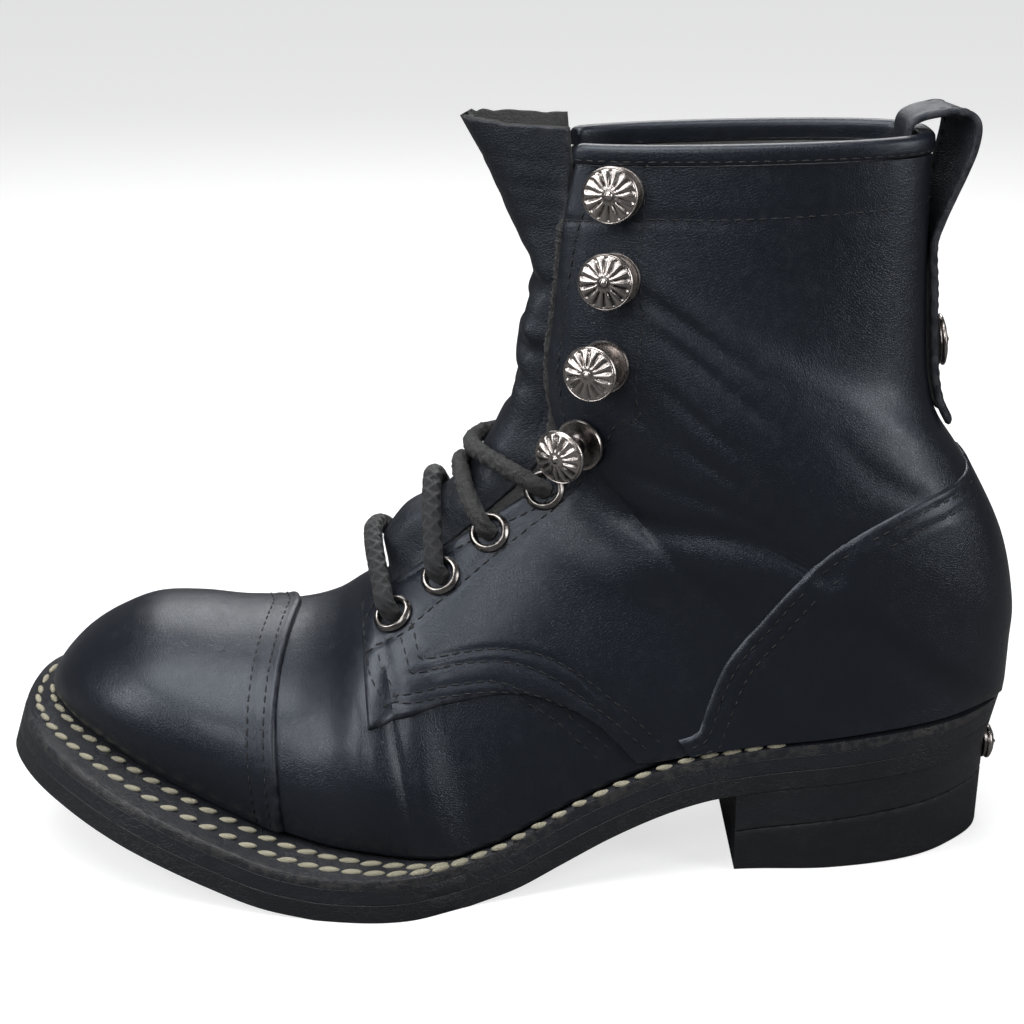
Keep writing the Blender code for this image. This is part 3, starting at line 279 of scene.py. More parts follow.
# Folds and wrinkles worn into the leather: points (section, share), depth and width in
# metres, the same on both sides. A negative depth is a soft roll that stands out.
folds = (
    dict(line=((14.2, 0.43), (14.3, 0.50), (14.7, 0.55), (15.5, 0.56), (16.35, 0.56), (17.2, 0.58),
               (17.9, 0.61)), depth=0.0016, width=0.0036),
    dict(line=((13.2, 0.46), (13.4, 0.56), (14.0, 0.62), (15.0, 0.64), (16.2, 0.66)),
         depth=-0.0012, width=0.0075),
    dict(line=((15.1, 0.42), (15.5, 0.46), (16.2, 0.49), (17.0, 0.51)),
         depth=0.0008, width=0.0022),
    dict(line=((19.9, 0.31), (19.8, 0.35), (19.7, 0.40), (19.5, 0.47)),
         depth=0.0007, width=0.0022),
    dict(line=((19.0, 0.32), (18.9, 0.37), (18.7, 0.43), (18.6, 0.48)),
         depth=0.0006, width=0.0020),
    dict(line=((17.6, 0.33), (17.4, 0.38), (17.3, 0.43)),
         depth=0.0006, width=0.0018),
    dict(line=((16.6, 0.35), (16.6, 0.39), (16.7, 0.44)),
         depth=0.0006, width=0.0016),
    dict(line=((19.2, 0.56), (18.9, 0.64), (19.1, 0.74)),
         depth=0.0005, width=0.0034),
)


def foldLines():
    made = []
    for fold in folds:
        table = [(k, *p) for k, p in enumerate(fold["line"])]
        at = np.linspace(0, len(table) - 1, 40)
        vs, shares = smooth(table, at, 1), smooth(table, at, 2)
        taper = np.sin(np.pi * np.linspace(0.08, 0.92, 40)) ** 0.8
        for side in (1, -1):
            points = np.array([basePoints(round(float(v), 3), s * side)[0]
                               for v, s in zip(vs, shares)])
            made.append((points, fold["depth"] * taper, fold["width"]))
    return made


wornFolds = foldLines()


def relief(points):
    total = np.zeros(len(points))
    for line, depth, width in wornFolds:
        gaps = np.linalg.norm(points[:, None, :] - line[None, :, :], axis=2)
        near = gaps.argmin(axis=1)
        total -= depth[near] * np.exp(-(gaps[np.arange(len(points)), near] / width) ** 2)
    return total


gridV, gridA = np.round(np.arange(0, lastRow + 0.01, 0.05), 4), np.linspace(-1, 1, 401)


def surfaceTable():
    base = np.array([basePoints(float(v), gridA) for v in gridV])
    out = np.array([normals(float(v), gridA) for v in gridV])
    worn = np.array([relief(line) for line in base])
    return np.concatenate((base, out, worn[..., None]), axis=2)


surface = surfaceTable()


def facePoints(v, a, offset=0.0):
    v, a, offset = np.broadcast_arrays(np.asarray(v, float), np.asarray(a, float), offset)
    x = np.clip(v / 0.05, 0, len(gridV) - 1.000001)
    y = np.clip((a + 1) / 0.005, 0, len(gridA) - 1.000001)
    i, j = x.astype(int), y.astype(int)
    x, y = (x - i)[..., None], (y - j)[..., None]
    found = ((surface[i, j] * (1 - x) + surface[i + 1, j] * x) * (1 - y)
             + (surface[i, j + 1] * (1 - x) + surface[i + 1, j + 1] * x) * y)
    return world(found[..., :3] + unit(found[..., 3:6]) * (offset + found[..., 6])[..., None])


def facePoint(v, a, offset=0.0):
    return Vector(facePoints(v, a, offset))


def outward(v, a):
    return (facePoint(v, a, 0.001) - facePoint(v, a)).normalized()


def sideAngle(v, side, crossing):
    last = section(v, side)[4]
    turn = 1 - crossing * (1 - math.cos(last))
    return side * math.acos(min(max(turn, -1.0), 1.0)) / last


def throatAngle(v, side, half):
    _, _, width, full, last = section(v, side)
    return side * np.arcsin(np.minimum((np.maximum(half, 0.0) / width) ** (1 / full[0]), 0.98)) / last


def throatHalf(v):
    foot = 0.06 * 0.0205 * max(1 - (v - rows["quarter"]), 0.0)
    return 0.0205 - foot - 0.0060 * float(ease(v, 13, 16))


def throatEdge(v, side, beyond=0.0):
    return throatAngle(v, side, throatHalf(v) + beyond)


def fineCurve(points):
    table = [(k, a * boot["length"], height(u)) for k, (a, u) in enumerate(points)]
    at = np.linspace(0, len(table) - 1, 90)
    return np.column_stack((smooth(table, at, 1), smooth(table, at, 2)))


quarterCurve, counterCurve = fineCurve(quarterEdge), fineCurve(counterEdge)


def crossingOf(v, curve):
    front, edge = frontPoint(v), edgePoint(v, 1)
    f = front[[0, 2]]
    d = edge[[0, 2]] - f
    for p, q in zip(curve, curve[1:]):
        e, r = q - p, p - f
        det = d[0] * -e[1] + d[1] * e[0]
        if abs(det) < 1e-12:
            continue
        t = (r[0] * -e[1] + r[1] * e[0]) / det
        u = (d[0] * r[1] - d[1] * r[0]) / det
        if -0.001 <= u <= 1.001 and 0.02 < t < 1.0:
            return t
    return 1.0


def locate(along, up, side=1):
    place = np.array((along * boot["length"], height(up)))

    def miss(v):
        front, edge = frontPoint(v), edgePoint(v, side)
        d, r = (edge - front)[[0, 2]], place - front[[0, 2]]
        return d[0] * r[1] - d[1] * r[0], d, r

    low, high = 7.0, lastRow
    start = miss(low)[0]
    for _ in range(40):
        middle = 0.5 * (low + high)
        if miss(middle)[0] * start > 0:
            low = middle
        else:
            high = middle
    v = 0.5 * (low + high)
    _, d, r = miss(v)
    return v, sideAngle(v, side, float(r @ d) / float(d @ d))


def mirrored(spot, side):
    v, a = spot
    half = abs(basePoints(v, a)[0][1] - frontPoint(v)[1])
    return (v, a) if side > 0 else (v, throatAngle(v, side, half))


def bowed(v, a):
    return v - 0.25 * np.sin(np.pi * np.abs(a)) * (v / rows["cap"]) ** 4 * (v <= rows["cap"])


print("surfaces ready")


# Camera, light and floor

def wire(tree, kind, values=None, family="ShaderNode", **settings):
    node = tree.nodes.new(family + kind)
    for key, value in settings.items():
        setattr(node, key, value)
    for key, value in (values or {}).items():
        if isinstance(value, bpy.types.NodeSocket):
            tree.links.new(value, node.inputs[key])
        else:
            node.inputs[key].default_value = value
    return node


def asSeen(tree, socket, low, high):
    seen = tree.nodes.new("ShaderNodeLightPath").outputs["Is Camera Ray"]
    level = wire(tree, "MapRange", {"Value": seen, "To Min": low, "To Max": high})
    tree.links.new(level.outputs[0], socket)


# Sky strength, floor glow and floor colour: for the light on the boot, then as the camera sees them
studio = dict(place=(0.153, 0.663, 0.317), yaw=0.43, pitch=18.16, focal=2370, frame=1024,
              sky=(0.09, 1.0), glow=(0.0, 0.70), paper=(0.14, 0.45))


def lookFrom():
    yaw, pitch = math.radians(studio["yaw"]), math.radians(studio["pitch"])
    ahead = (-math.sin(yaw) * math.cos(pitch), -math.cos(yaw) * math.cos(pitch), -math.sin(pitch))
    camera = bpy.data.objects.new("camera", bpy.data.cameras.new("camera"))
    bpy.context.scene.collection.objects.link(camera)
    camera.data.sensor_width = 36
    camera.data.lens = studio["focal"] * 36 / studio["frame"]
    camera.data.clip_start = 0.05
    camera.location = world(studio["place"])
    way = Vector((ahead[1], -ahead[0], ahead[2]))
    camera.rotation_euler = way.to_track_quat("-Z", "Y").to_euler()
    bpy.context.scene.camera = camera


lights = (  # place, aim, size, watts
    dict(name="top_softbox", place=(0.15, -0.20, 1.05), aim=(0.0, 0.0, 0.05), size=(0.7, 0.9), power=10),
    dict(name="toe_softbox", place=(0.40, -0.95, 0.60), aim=(0.0, -0.05, 0.06), size=(0.5, 0.6), power=5),
    dict(name="side_softbox", place=(1.10, -0.25, 0.80), aim=(0.0, 0.0, 0.09), size=(0.7, 0.4), power=4),
    dict(name="heel_softbox", place=(0.45, 1.0, 0.50), aim=(0.0, 0.05, 0.09), size=(0.4, 0.7), power=4.5),
    dict(name="back_softbox", place=(-0.9, 0.0, 0.75), aim=(0.0, 0.0, 0.08), size=(0.8, 0.5), power=5),
)


def makeStudio():
    lookFrom()
    for light in lights:
        lamp = bpy.data.lights.new(light["name"], "AREA")
        lamp.shape = "RECTANGLE"
        lamp.size, lamp.size_y = light["size"]
        lamp.energy = light["power"]
        item = bpy.data.objects.new(light["name"], lamp)
        item.location = light["place"]
        way = Vector(light["aim"]) - Vector(light["place"])
        item.rotation_euler = way.to_track_quat("-Z", "Y").to_euler()
        bpy.context.scene.collection.objects.link(item)
    sky = bpy.data.worlds.new("studio")
    bpy.context.scene.world = sky
    sky.use_nodes = True
    tree = sky.node_tree
    tree.nodes["Background"].inputs["Color"].default_value = (0.92, 0.95, 1, 1)
    asSeen(tree, tree.nodes["Background"].inputs["Strength"], *studio["sky"])
    floor = bpy.data.meshes.new("floor")
    floor.from_pydata([(-6, -6, 0), (6, -6, 0), (6, 6, 0), (-6, 6, 0)], [], [(0, 1, 2, 3)])
    item = bpy.data.objects.new("floor", floor)
    bpy.context.scene.collection.objects.link(item)
    paper = bpy.data.materials.new("floor_paper")
    paper.use_nodes = True
    tree = paper.node_tree
    shader = tree.nodes["Principled BSDF"]
    shader.inputs["Roughness"].default_value = 0.9
    shader.inputs["Specular IOR Level"].default_value = 0.0
    shader.inputs["Emission Color"].default_value = (1, 1, 1, 1)
    asSeen(tree, shader.inputs["Emission Strength"], *studio["glow"])
    asSeen(tree, shader.inputs["Base Color"], *studio["paper"])
    floor.materials.append(paper)


makeStudio()
bpy.context.scene.view_settings.view_transform = "Standard"
print("studio ready")


# Materials: two shader groups give grain and wear, and each finish sets its own values

def makeGrainGroup():
    tree = bpy.data.node_groups.new("hide grain", "ShaderNodeTree")
    for name, value in (("Pore Scale", 1400.0), ("Pore Depth", 1.0), ("Wrinkle Depth", 1.0),
                        ("Wrinkle Scale", 160.0)):
        tree.interface.new_socket(name, in_out="INPUT", socket_type="NodeSocketFloat").default_value = value
    for name in ("Height", "Cloud", "Worn"):
        tree.interface.new_socket(name, in_out="OUTPUT", socket_type="NodeSocketFloat")
    given = tree.nodes.new("NodeGroupInput").outputs
    place = tree.nodes.new("ShaderNodeTexCoord").outputs["Object"]
    swirl = wire(tree, "TexNoise", {"Vector": place, "Scale": 60.0, "Detail": 3.0})
    bent = wire(tree, "VectorMath", {0: swirl.outputs["Color"], 1: (0.004, 0.004, 0.004)},
                operation="MULTIPLY")
    moved = wire(tree, "VectorMath", {0: place, 1: bent.outputs[0]}, operation="ADD")
    pores = wire(tree, "TexVoronoi", {"Vector": moved.outputs[0], "Scale": given["Pore Scale"]},
                 feature="DISTANCE_TO_EDGE")
    plateau = wire(tree, "MapRange", {"Value": pores.outputs["Distance"], "From Max": 0.16})
    lines = wire(tree, "TexNoise", {"Vector": moved.outputs[0], "Scale": given["Wrinkle Scale"],
                                    "Detail": 5.0, "Roughness": 0.6})
    ridge = wire(tree, "Math", {0: lines.outputs["Fac"], 1: 0.5}, operation="SUBTRACT")
    ridge = wire(tree, "Math", {0: ridge.outputs[0]}, operation="ABSOLUTE")
    ridge = wire(tree, "MapRange", {"Value": ridge.outputs[0], "From Max": 0.05})
    soft = wire(tree, "TexNoise", {"Vector": place, "Scale": 26.0, "Detail": 4.0, "Roughness": 0.6})
    where = wire(tree, "MapRange", {"Value": soft.outputs["Fac"], "From Min": 0.42, "From Max": 0.72})
    one = wire(tree, "Math", {0: plateau.outputs[0], 1: given["Pore Depth"]}, operation="MULTIPLY")
    two = wire(tree, "Math", {0: ridge.outputs[0], 1: given["Wrinkle Depth"]}, operation="MULTIPLY")
    two = wire(tree, "Math", {0: two.outputs[0], 1: where.outputs[0]}, operation="MULTIPLY")
    both = wire(tree, "Math", {0: one.outputs[0], 1: two.outputs[0]}, operation="ADD")
    worn = wire(tree, "TexNoise", {"Vector": place, "Scale": 210.0, "Detail": 6.0, "Roughness": 0.7})
    worn = wire(tree, "MapRange", {"Value": worn.outputs["Fac"], "From Min": 0.52, "From Max": 0.70})
    result = tree.nodes.new("NodeGroupOutput").inputs
    tree.links.new(both.outputs[0], result["Height"])
    tree.links.new(soft.outputs["Fac"], result["Cloud"])
    tree.links.new(worn.outputs[0], result["Worn"])
    return tree


def makeRubGroup():
    tree = bpy.data.node_groups.new("rubbed rim", "ShaderNodeTree")
    tree.interface.new_socket("Amount", in_out="INPUT", socket_type="NodeSocketFloat").default_value = 1.0
    tree.interface.new_socket("Scale", in_out="INPUT", socket_type="NodeSocketFloat").default_value = 300.0
    tree.interface.new_socket("Rub", in_out="OUTPUT", socket_type="NodeSocketFloat")
    given = tree.nodes.new("NodeGroupInput").outputs
    rim = wire(tree, "Attribute", attribute_name="rim")
    place = tree.nodes.new("ShaderNodeTexCoord").outputs["Object"]
    patch = wire(tree, "TexNoise", {"Vector": place, "Scale": given["Scale"], "Detail": 5.0})
    patch = wire(tree, "MapRange", {"Value": patch.outputs["Fac"], "From Min": 0.40, "From Max": 0.62})
    rub = wire(tree, "Math", {0: rim.outputs["Fac"], 1: patch.outputs[0]}, operation="MULTIPLY")
    rub = wire(tree, "Math", {0: rub.outputs[0], 1: given["Amount"]}, operation="MULTIPLY")
    tree.links.new(rub.outputs[0], tree.nodes.new("NodeGroupOutput").inputs["Rub"])
    return tree


grainGroup, rubGroup = makeGrainGroup(), makeRubGroup()


def makeFinish(name, look):
    made = bpy.data.materials.new(name)
    made.use_nodes = True
    tree = made.node_tree
    shader = tree.nodes["Principled BSDF"]
    grain = tree.nodes.new("ShaderNodeGroup")
    grain.node_tree = grainGroup
    for key, value in look.get("grain", {}).items():
        grain.inputs[key].default_value = value
    rub = tree.nodes.new("ShaderNodeGroup")
    rub.node_tree = rubGroup
    rub.inputs["Amount"].default_value = look.get("rub", 0.0)
    rub.inputs["Scale"].default_value = look.get("rubScale", 300.0)
    mix = wire(tree, "Mix", {0: grain.outputs["Cloud"], 6: (*look["colour"], 1),
                             7: (*look["second"], 1)}, data_type="RGBA")
    worn = wire(tree, "Mix", {0: rub.outputs["Rub"], 6: mix.outputs[2], 7: (*look["wornColour"], 1)},
                data_type="RGBA")
    tree.links.new(worn.outputs[2], shader.inputs["Base Color"])
    low, high = look["roughness"]
    rough = wire(tree, "MapRange", {"Value": grain.outputs["Worn"], "To Min": low, "To Max": high})
    tree.links.new(rough.outputs[0], shader.inputs["Roughness"])
    bump = wire(tree, "Bump", {"Strength": look["bump"], "Distance": look["bumpSize"],
                               "Height": grain.outputs["Height"]})
    tree.links.new(bump.outputs["Normal"], shader.inputs["Normal"])
    for key, value in look.get("shader", {}).items():
        shader.inputs[key].default_value = value
    return made


finishes = dict(
    upperLeather=dict(
        colour=(0.0055, 0.0068, 0.0105), second=(0.010, 0.012, 0.018), wornColour=(0.045, 0.048, 0.055),
        roughness=(0.29, 0.43), bump=0.40, bumpSize=0.00013, rub=0.8,
        grain={"Pore Scale": 1500.0, "Pore Depth": 0.6, "Wrinkle Scale": 190.0, "Wrinkle Depth": 0.8},
        shader={"Specular IOR Level": 0.5, "Specular Tint": (0.80, 0.88, 1.0, 1), "Coat Weight": 0.12,
                "Coat Roughness": 0.2}),
    softLeather=dict(
        colour=(0.0055, 0.0066, 0.0100), second=(0.011, 0.013, 0.018), wornColour=(0.05, 0.05, 0.055),
        roughness=(0.42, 0.60), bump=0.55, bumpSize=0.00018, rub=1.0,
        grain={"Pore Scale": 1300.0, "Pore Depth": 0.8, "Wrinkle Scale": 150.0, "Wrinkle Depth": 1.4},
        shader={"Specular IOR Level": 0.5, "Specular Tint": (0.80, 0.88, 1.0, 1), "Coat Weight": 0.06,
                "Coat Roughness": 0.3}),
    lining=dict(
        colour=(0.012, 0.012, 0.014), second=(0.022, 0.021, 0.022), wornColour=(0.05, 0.045, 0.04),
        roughness=(0.30, 0.50), bump=0.3, bumpSize=0.00015, rub=0.4,
        grain={"Pore Scale": 1100.0, "Wrinkle Scale": 120.0},
        shader={"Specular IOR Level": 0.5, "Coat Weight": 0.15, "Coat Roughness": 0.2}),
    suede=dict(
        colour=(0.0045, 0.0045, 0.0050), second=(0.010, 0.010, 0.011), wornColour=(0.02, 0.02, 0.02),
        roughness=(0.90, 1.0), bump=0.9, bumpSize=0.0006,
        grain={"Pore Scale": 2400.0, "Pore Depth": 1.0, "Wrinkle Scale": 700.0, "Wrinkle Depth": 1.5},
        shader={"Specular IOR Level": 0.1, "Sheen Weight": 0.25, "Sheen Roughness": 0.6}),
    edgeLeather=dict(
        colour=(0.0100, 0.0110, 0.0150), second=(0.020, 0.021, 0.026), wornColour=(0.06, 0.058, 0.055),
        roughness=(0.38, 0.60), bump=0.5, bumpSize=0.00022, rub=0.5, rubScale=420.0,
        grain={"Pore Scale": 900.0, "Pore Depth": 0.35, "Wrinkle Scale": 260.0, "Wrinkle Depth": 1.2},
        shader={"Specular IOR Level": 0.45}),
    rubber=dict(
        colour=(0.0085, 0.0092, 0.0120), second=(0.018, 0.019, 0.023), wornColour=(0.05, 0.05, 0.05),
        roughness=(0.45, 0.70), bump=0.6, bumpSize=0.00025, rub=0.5, rubScale=380.0,
        grain={"Pore Scale": 800.0, "Pore Depth": 0.25, "Wrinkle Scale": 330.0, "Wrinkle Depth": 1.0},
        shader={"Specular IOR Level": 0.4}),
    nickel=dict(
        colour=(0.16, 0.145, 0.14), second=(0.30, 0.28, 0.27), wornColour=(0.55, 0.52, 0.48),
        roughness=(0.22, 0.42), bump=0.2, bumpSize=0.0001, rub=1.0, rubScale=520.0,
        grain={"Pore Scale": 900.0, "Pore Depth": 0.2, "Wrinkle Scale": 500.0},
        shader={"Metallic": 1.0}),
    silver=dict(
        colour=(0.42, 0.38, 0.36), second=(0.62, 0.57, 0.54), wornColour=(0.030, 0.026, 0.028),
        roughness=(0.24, 0.40), bump=0.2, bumpSize=0.0001, rub=1.0, rubScale=60.0,
        grain={"Pore Scale": 700.0, "Pore Depth": 0.2, "Wrinkle Scale": 420.0},
        shader={"Metallic": 1.0}),
    cord=dict(
        colour=(0.0050, 0.0055, 0.0070), second=(0.012, 0.013, 0.016), wornColour=(0.03, 0.03, 0.03),
        roughness=(0.42, 0.70), bump=0.8, bumpSize=0.00025,
        grain={"Pore Scale": 2600.0, "Pore Depth": 0.8, "Wrinkle Scale": 1500.0, "Wrinkle Depth": 1.4},
        shader={"Specular IOR Level": 0.5, "Sheen Weight": 0.12}),
    wornCord=dict(
        colour=(0.0045, 0.0045, 0.0052), second=(0.009, 0.009, 0.010), wornColour=(0.02, 0.02, 0.02),
        roughness=(0.85, 1.0), bump=1.0, bumpSize=0.0005,
        grain={"Pore Scale": 2600.0, "Pore Depth": 1.0, "Wrinkle Scale": 1200.0, "Wrinkle Depth": 1.6},
        shader={"Specular IOR Level": 0.15, "Sheen Weight": 0.25, "Sheen Roughness": 0.5}),
    blackThread=dict(
        colour=(0.0040, 0.0042, 0.0052), second=(0.008, 0.008, 0.010), wornColour=(0.02, 0.02, 0.02),
        roughness=(0.45, 0.65), bump=0.5, bumpSize=0.0001,
        grain={"Pore Scale": 4000.0, "Wrinkle Scale": 2400.0},
        shader={"Specular IOR Level": 0.5}),
    creamThread=dict(
        colour=(0.50, 0.47, 0.36), second=(0.36, 0.34, 0.25), wornColour=(0.12, 0.11, 0.09),
        roughness=(0.60, 0.85), bump=0.7, bumpSize=0.0002, rub=1.0, rubScale=900.0,
        grain={"Pore Scale": 3200.0, "Pore Depth": 0.7, "Wrinkle Scale": 1700.0},
        shader={"Specular IOR Level": 0.3}),
)
finish = {name: makeFinish(name, look) for name, look in finishes.items()}
print("finishes ready:", len(finish))


# Mesh helpers

def addPiece(name, mesh, slot, *nodes):
    item = bpy.data.objects.new(name, mesh)
    bpy.context.scene.collection.objects.link(item)
    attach(item, "root")
    if nodes:
        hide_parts(*nodes)
    return item


def meshOf(name, points, faces, material, merge=0.00002, closed=True, rim=None, sharp=40):
    mesh = bpy.data.meshes.new(name)
    mesh.from_pydata([tuple(p) for p in points], [], faces)
    if rim is not None:
        mark = mesh.attributes.new("rim", "FLOAT", "POINT")
        mark.data.foreach_set("value", np.asarray(rim, float))
    shape = bmesh.new()
    shape.from_mesh(mesh)
    bmesh.ops.remove_doubles(shape, verts=shape.verts, dist=merge)
    bmesh.ops.dissolve_degenerate(shape, edges=shape.edges, dist=merge)
    if closed:
        bmesh.ops.recalc_face_normals(shape, faces=shape.faces)
    shape.to_mesh(mesh)
    shape.free()
    mesh.materials.append(material)
    mesh.shade_smooth()
    if sharp:
        mesh.set_sharp_from_angle(angle=math.radians(sharp))
    return mesh


def gridFaces(count, width, keep=None):
    return [(i * width + j, i * width + j + 1, (i + 1) * width + j + 1, (i + 1) * width + j)
            for i in range(count - 1) for j in range(width - 1) if keep is None or keep(i, j)]


def ringFaces(count, width):
    return [(i * width + j, i * width + (j + 1) % width, (i + 1) * width + (j + 1) % width,
             (i + 1) * width + j) for i in range(count - 1) for j in range(width)]


def tubeFaces(count, width):
    end = (count - 1) * width
    return ringFaces(count, width) + [tuple(range(width)), tuple(end + j for j in reversed(range(width)))]


def borderPairs(count, width):
    around = [i * width for i in range(count)]
    around += [(count - 1) * width + j for j in range(1, width)]
    around += [i * width + width - 1 for i in range(count - 2, -1, -1)]
    around += range(width - 2, 0, -1)
    return list(zip(around, around[1:] + around[:1]))


def sheetParts(outer, inner, rim=None):
    count, width = outer.shape[:2]
    size = count * width
    points = np.concatenate((outer.reshape(-1, 3), inner.reshape(-1, 3)))
    faces = gridFaces(count, width)
    faces += [tuple(size + k for k in reversed(f)) for f in faces]
    faces += [(a, b, size + b, size + a) for a, b in borderPairs(count, width)]
    marks = np.zeros(2 * size) if rim is None else np.concatenate((rim.ravel(), rim.ravel()))
    return points, faces, marks


def joined(parts):
    points, faces, marks, start = [], [], [], 0
    for p, f, m in parts:
        points.append(p)
        faces += [tuple(start + k for k in face) for face in f]
        marks.append(m)
        start += len(p)
    return np.concatenate(points), faces, np.concatenate(marks)


def edgeGap(grid, sides):
    count, width = grid.shape[:2]
    found = np.full((count, width), 1.0)
    across = np.linalg.norm(np.diff(grid, axis=1), axis=2)
    up = np.linalg.norm(np.diff(grid, axis=0), axis=2)
    fromLeft = np.concatenate((np.zeros((count, 1)), np.cumsum(across, axis=1)), axis=1)
    fromFoot = np.concatenate((np.zeros((1, width)), np.cumsum(up, axis=0)), axis=0)
    for side, gaps in (("left", fromLeft), ("right", fromLeft[:, -1:] - fromLeft),
                       ("foot", fromFoot), ("top", fromFoot[-1:] - fromFoot)):
        if side in sides:
            found = np.minimum(found, gaps)
    return found


def roundedRise(gaps, radius):
    u = np.clip(gaps / radius, 0.0, 1.0)
    return 0.22 + 0.78 * np.sqrt(1 - (1 - u) ** 2)


def finely(low, high, step, fine=()):
    values = set(np.round(np.arange(low, high + step / 2, step), 4)) | {round(low, 4), round(high, 4)}
    for edge, way in fine:
        values |= {round(edge + way * d, 4) for d in (0.0, 0.02, 0.05, 0.09)}
    return sorted(v for v in values if low - 1e-9 <= v <= high + 1e-9)


closeIn = (0.0, 0.0025, 0.006, 0.011)
fineShares = np.array(sorted({*closeIn, *(1 - s for s in closeIn), *np.linspace(0.02, 0.98, 66)}))


# Wall of the upper, lining inside

wallGrid = dict(side=72, middle=8, step=0.125)


def makeWall():
    vs = finely(0.0, lastRow, wallGrid["step"], ((rows["throat"], 1),))
    side, middle = wallGrid["side"], wallGrid["middle"]
    shares = np.linspace(0, 1, side)
    grid = []
    for v in vs:
        if v == 0:
            count, last = side + middle // 2 - 1, section(0.0, 1)[4]
            line = np.arcsin(np.arange(count, -count - 1, -1) / count) / last
        else:
            lateral, medial = (abs(throatEdge(v, way)) for way in (1, -1))
            line = np.concatenate(((lateral + (1 - lateral) * shares)[::-1],
                                   np.linspace(lateral, -medial, middle + 1)[1:-1],
                                   -(medial + (1 - medial) * shares)))
        grid.append(facePoints(bowed(v, line), line))
    foot, throat = vs.index(rows["throat"]), range(side - 1, side - 1 + middle)
    faces = gridFaces(len(vs), len(grid[0]), keep=lambda i, j: i < foot or j not in throat)
    mesh = meshOf("upper_wall", np.concatenate(grid), [f[::-1] for f in faces],
                  finish["upperLeather"], merge=0.0001, closed=False, sharp=None)
    mesh.materials.append(finish["lining"])
    item = addPiece("upper_wall", mesh, "upper_leather", "upper")
    solid = item.modifiers.new("Wall", "SOLIDIFY")
    solid.thickness, solid.offset = boot["wall"], -1.0
    solid.material_offset, solid.material_offset_rim = 1, 0
    solid.use_quality_normals = True
    return item


def panelGrid(vs, line, thick, sides, radius=0.0016, base=-0.0002):
    middle = np.array([line(v, 0.0) for v in vs])
    gaps = edgeGap(middle, sides)
    rise = roundedRise(gaps, radius)
    outer = np.array([line(v, (boot["seat"] + thick) * rise[k]) for k, v in enumerate(vs)])
    inner = np.array([line(v, base) for v in vs])
    return sheetParts(outer, inner, np.exp(-gaps / 0.0011))


def makeToeCap():
    vs = finely(0.25, rows["cap"], 0.125, ((rows["cap"], -1),))
    shares = np.linspace(0.985, -0.985, 150)

    def line(v, offset):
        return facePoints(bowed(v, shares), shares, offset)

    points, faces, marks = panelGrid(vs, line, boot["overlay"], ("top",))
    mesh = meshOf("toe_cap", points, faces, finish["upperLeather"], rim=marks)
    return addPiece("toe_cap_leather", mesh, "upper_leather", "toe_cap")


def quarterEnd(v, side):
    if v >= rows["counter"]:
        return 1.0
    return min(abs(sideAngle(v, side, crossingOf(v, quarterCurve))), 1.0)


def makeQuarters():
    made = {}
    vs = finely(rows["quarter"], lastRow, 0.1, ((rows["quarter"], 1),))
    for side, word in ((1, "lateral"), (-1, "medial")):
        def line(v, offset, side=side):
            throat, end = abs(throatEdge(v, side)), quarterEnd(v, side)
            return facePoints(v, side * (throat + (end - throat) * fineShares), offset)

        points, faces, marks = panelGrid(vs, line, boot["overlay"], ("left", "foot", "right"))
        mesh = meshOf("quarter_" + word, points, faces, finish["upperLeather"], rim=marks)
        made[side] = addPiece("quarter_leather_" + word, mesh, "upper_leather", "quarter_" + word)
    return made


def counterStart(v, side):
    return min(abs(sideAngle(v, side, crossingOf(v, counterCurve))), 0.955)


def makeCounter():
    vs = finely(rows["counter"] + 0.02, rows["counterTop"], 0.1, ((rows["counterTop"], -1),))
    parts = []
    for side in (1, -1):
        def line(v, offset, side=side):
            start = counterStart(v, side)
            return facePoints(v, side * (start + (1 - start) * fineShares), offset)

        parts.append(panelGrid(vs, line, boot["counter"] + gap, ("left", "top"), radius=0.002))
    points, faces, marks = joined(parts)
    mesh = meshOf("heel_counter", points, faces, finish["upperLeather"], rim=marks)
    return addPiece("counter_leather", mesh, "upper_leather", "heel_counter")


wall = makeWall()
toeCap = makeToeCap()
quarters = makeQuarters()
counter = makeCounter()
print("upper panels ready")


# Tongue, gussets, binding and pull loop

tongue = dict(half=0.0168, thick=0.0026, lean=0.0236, over=0.0105, depth=0.0036, lace=0.0053,
              ripple=0.0006, ragged=0.0007)
tongueRise = (
    (9.60, 0.00), (10.50, 0.55), (10.74, 0.92), (11.30, 1.16), (11.60, 0.92), (11.95, 0.42),
    (12.15, 0.30), (12.39, 0.10), (12.55, 0.22), (12.76, 0.36), (13.20, 0.58), (14.00, 0.64),
    (15.00, 0.88), (16.00, 0.98), (17.50, 0.74), (18.60, 0.52), (20.00, 0.40), (23.00, 0.25))
tongueBuckles = (  # section, share across, depth, spread along and across
    (16.6, -0.25, 0.0022, 0.35, 0.35), (15.6, 0.30, 0.0026, 0.30, 0.30),
    (17.6, 0.35, 0.0018, 0.40, 0.30), (14.7, 0.10, 0.0020, 0.25, 0.45),
    (16.1, 0.55, -0.0012, 0.30, 0.20), (18.6, 0.05, 0.0010, 0.45, 0.40),
    (14.1, -0.35, 0.0014, 0.25, 0.35), (19.8, 0.45, 0.0008, 0.6, 0.25))


def tongueHalf(v):
    u = float(ease(v, 18, 21))
    return tongue["half"] * (1 - u) + (throatHalf(v) - 4 * gap) * u


def leanOf(up, share):
    u = max((up / boot["collar"] - 0.835) / 0.2, 0.0)
    return np.array((0, -tongue["lean"] * u * (1 - 0.86 * abs(share) ** 1.6), 0))


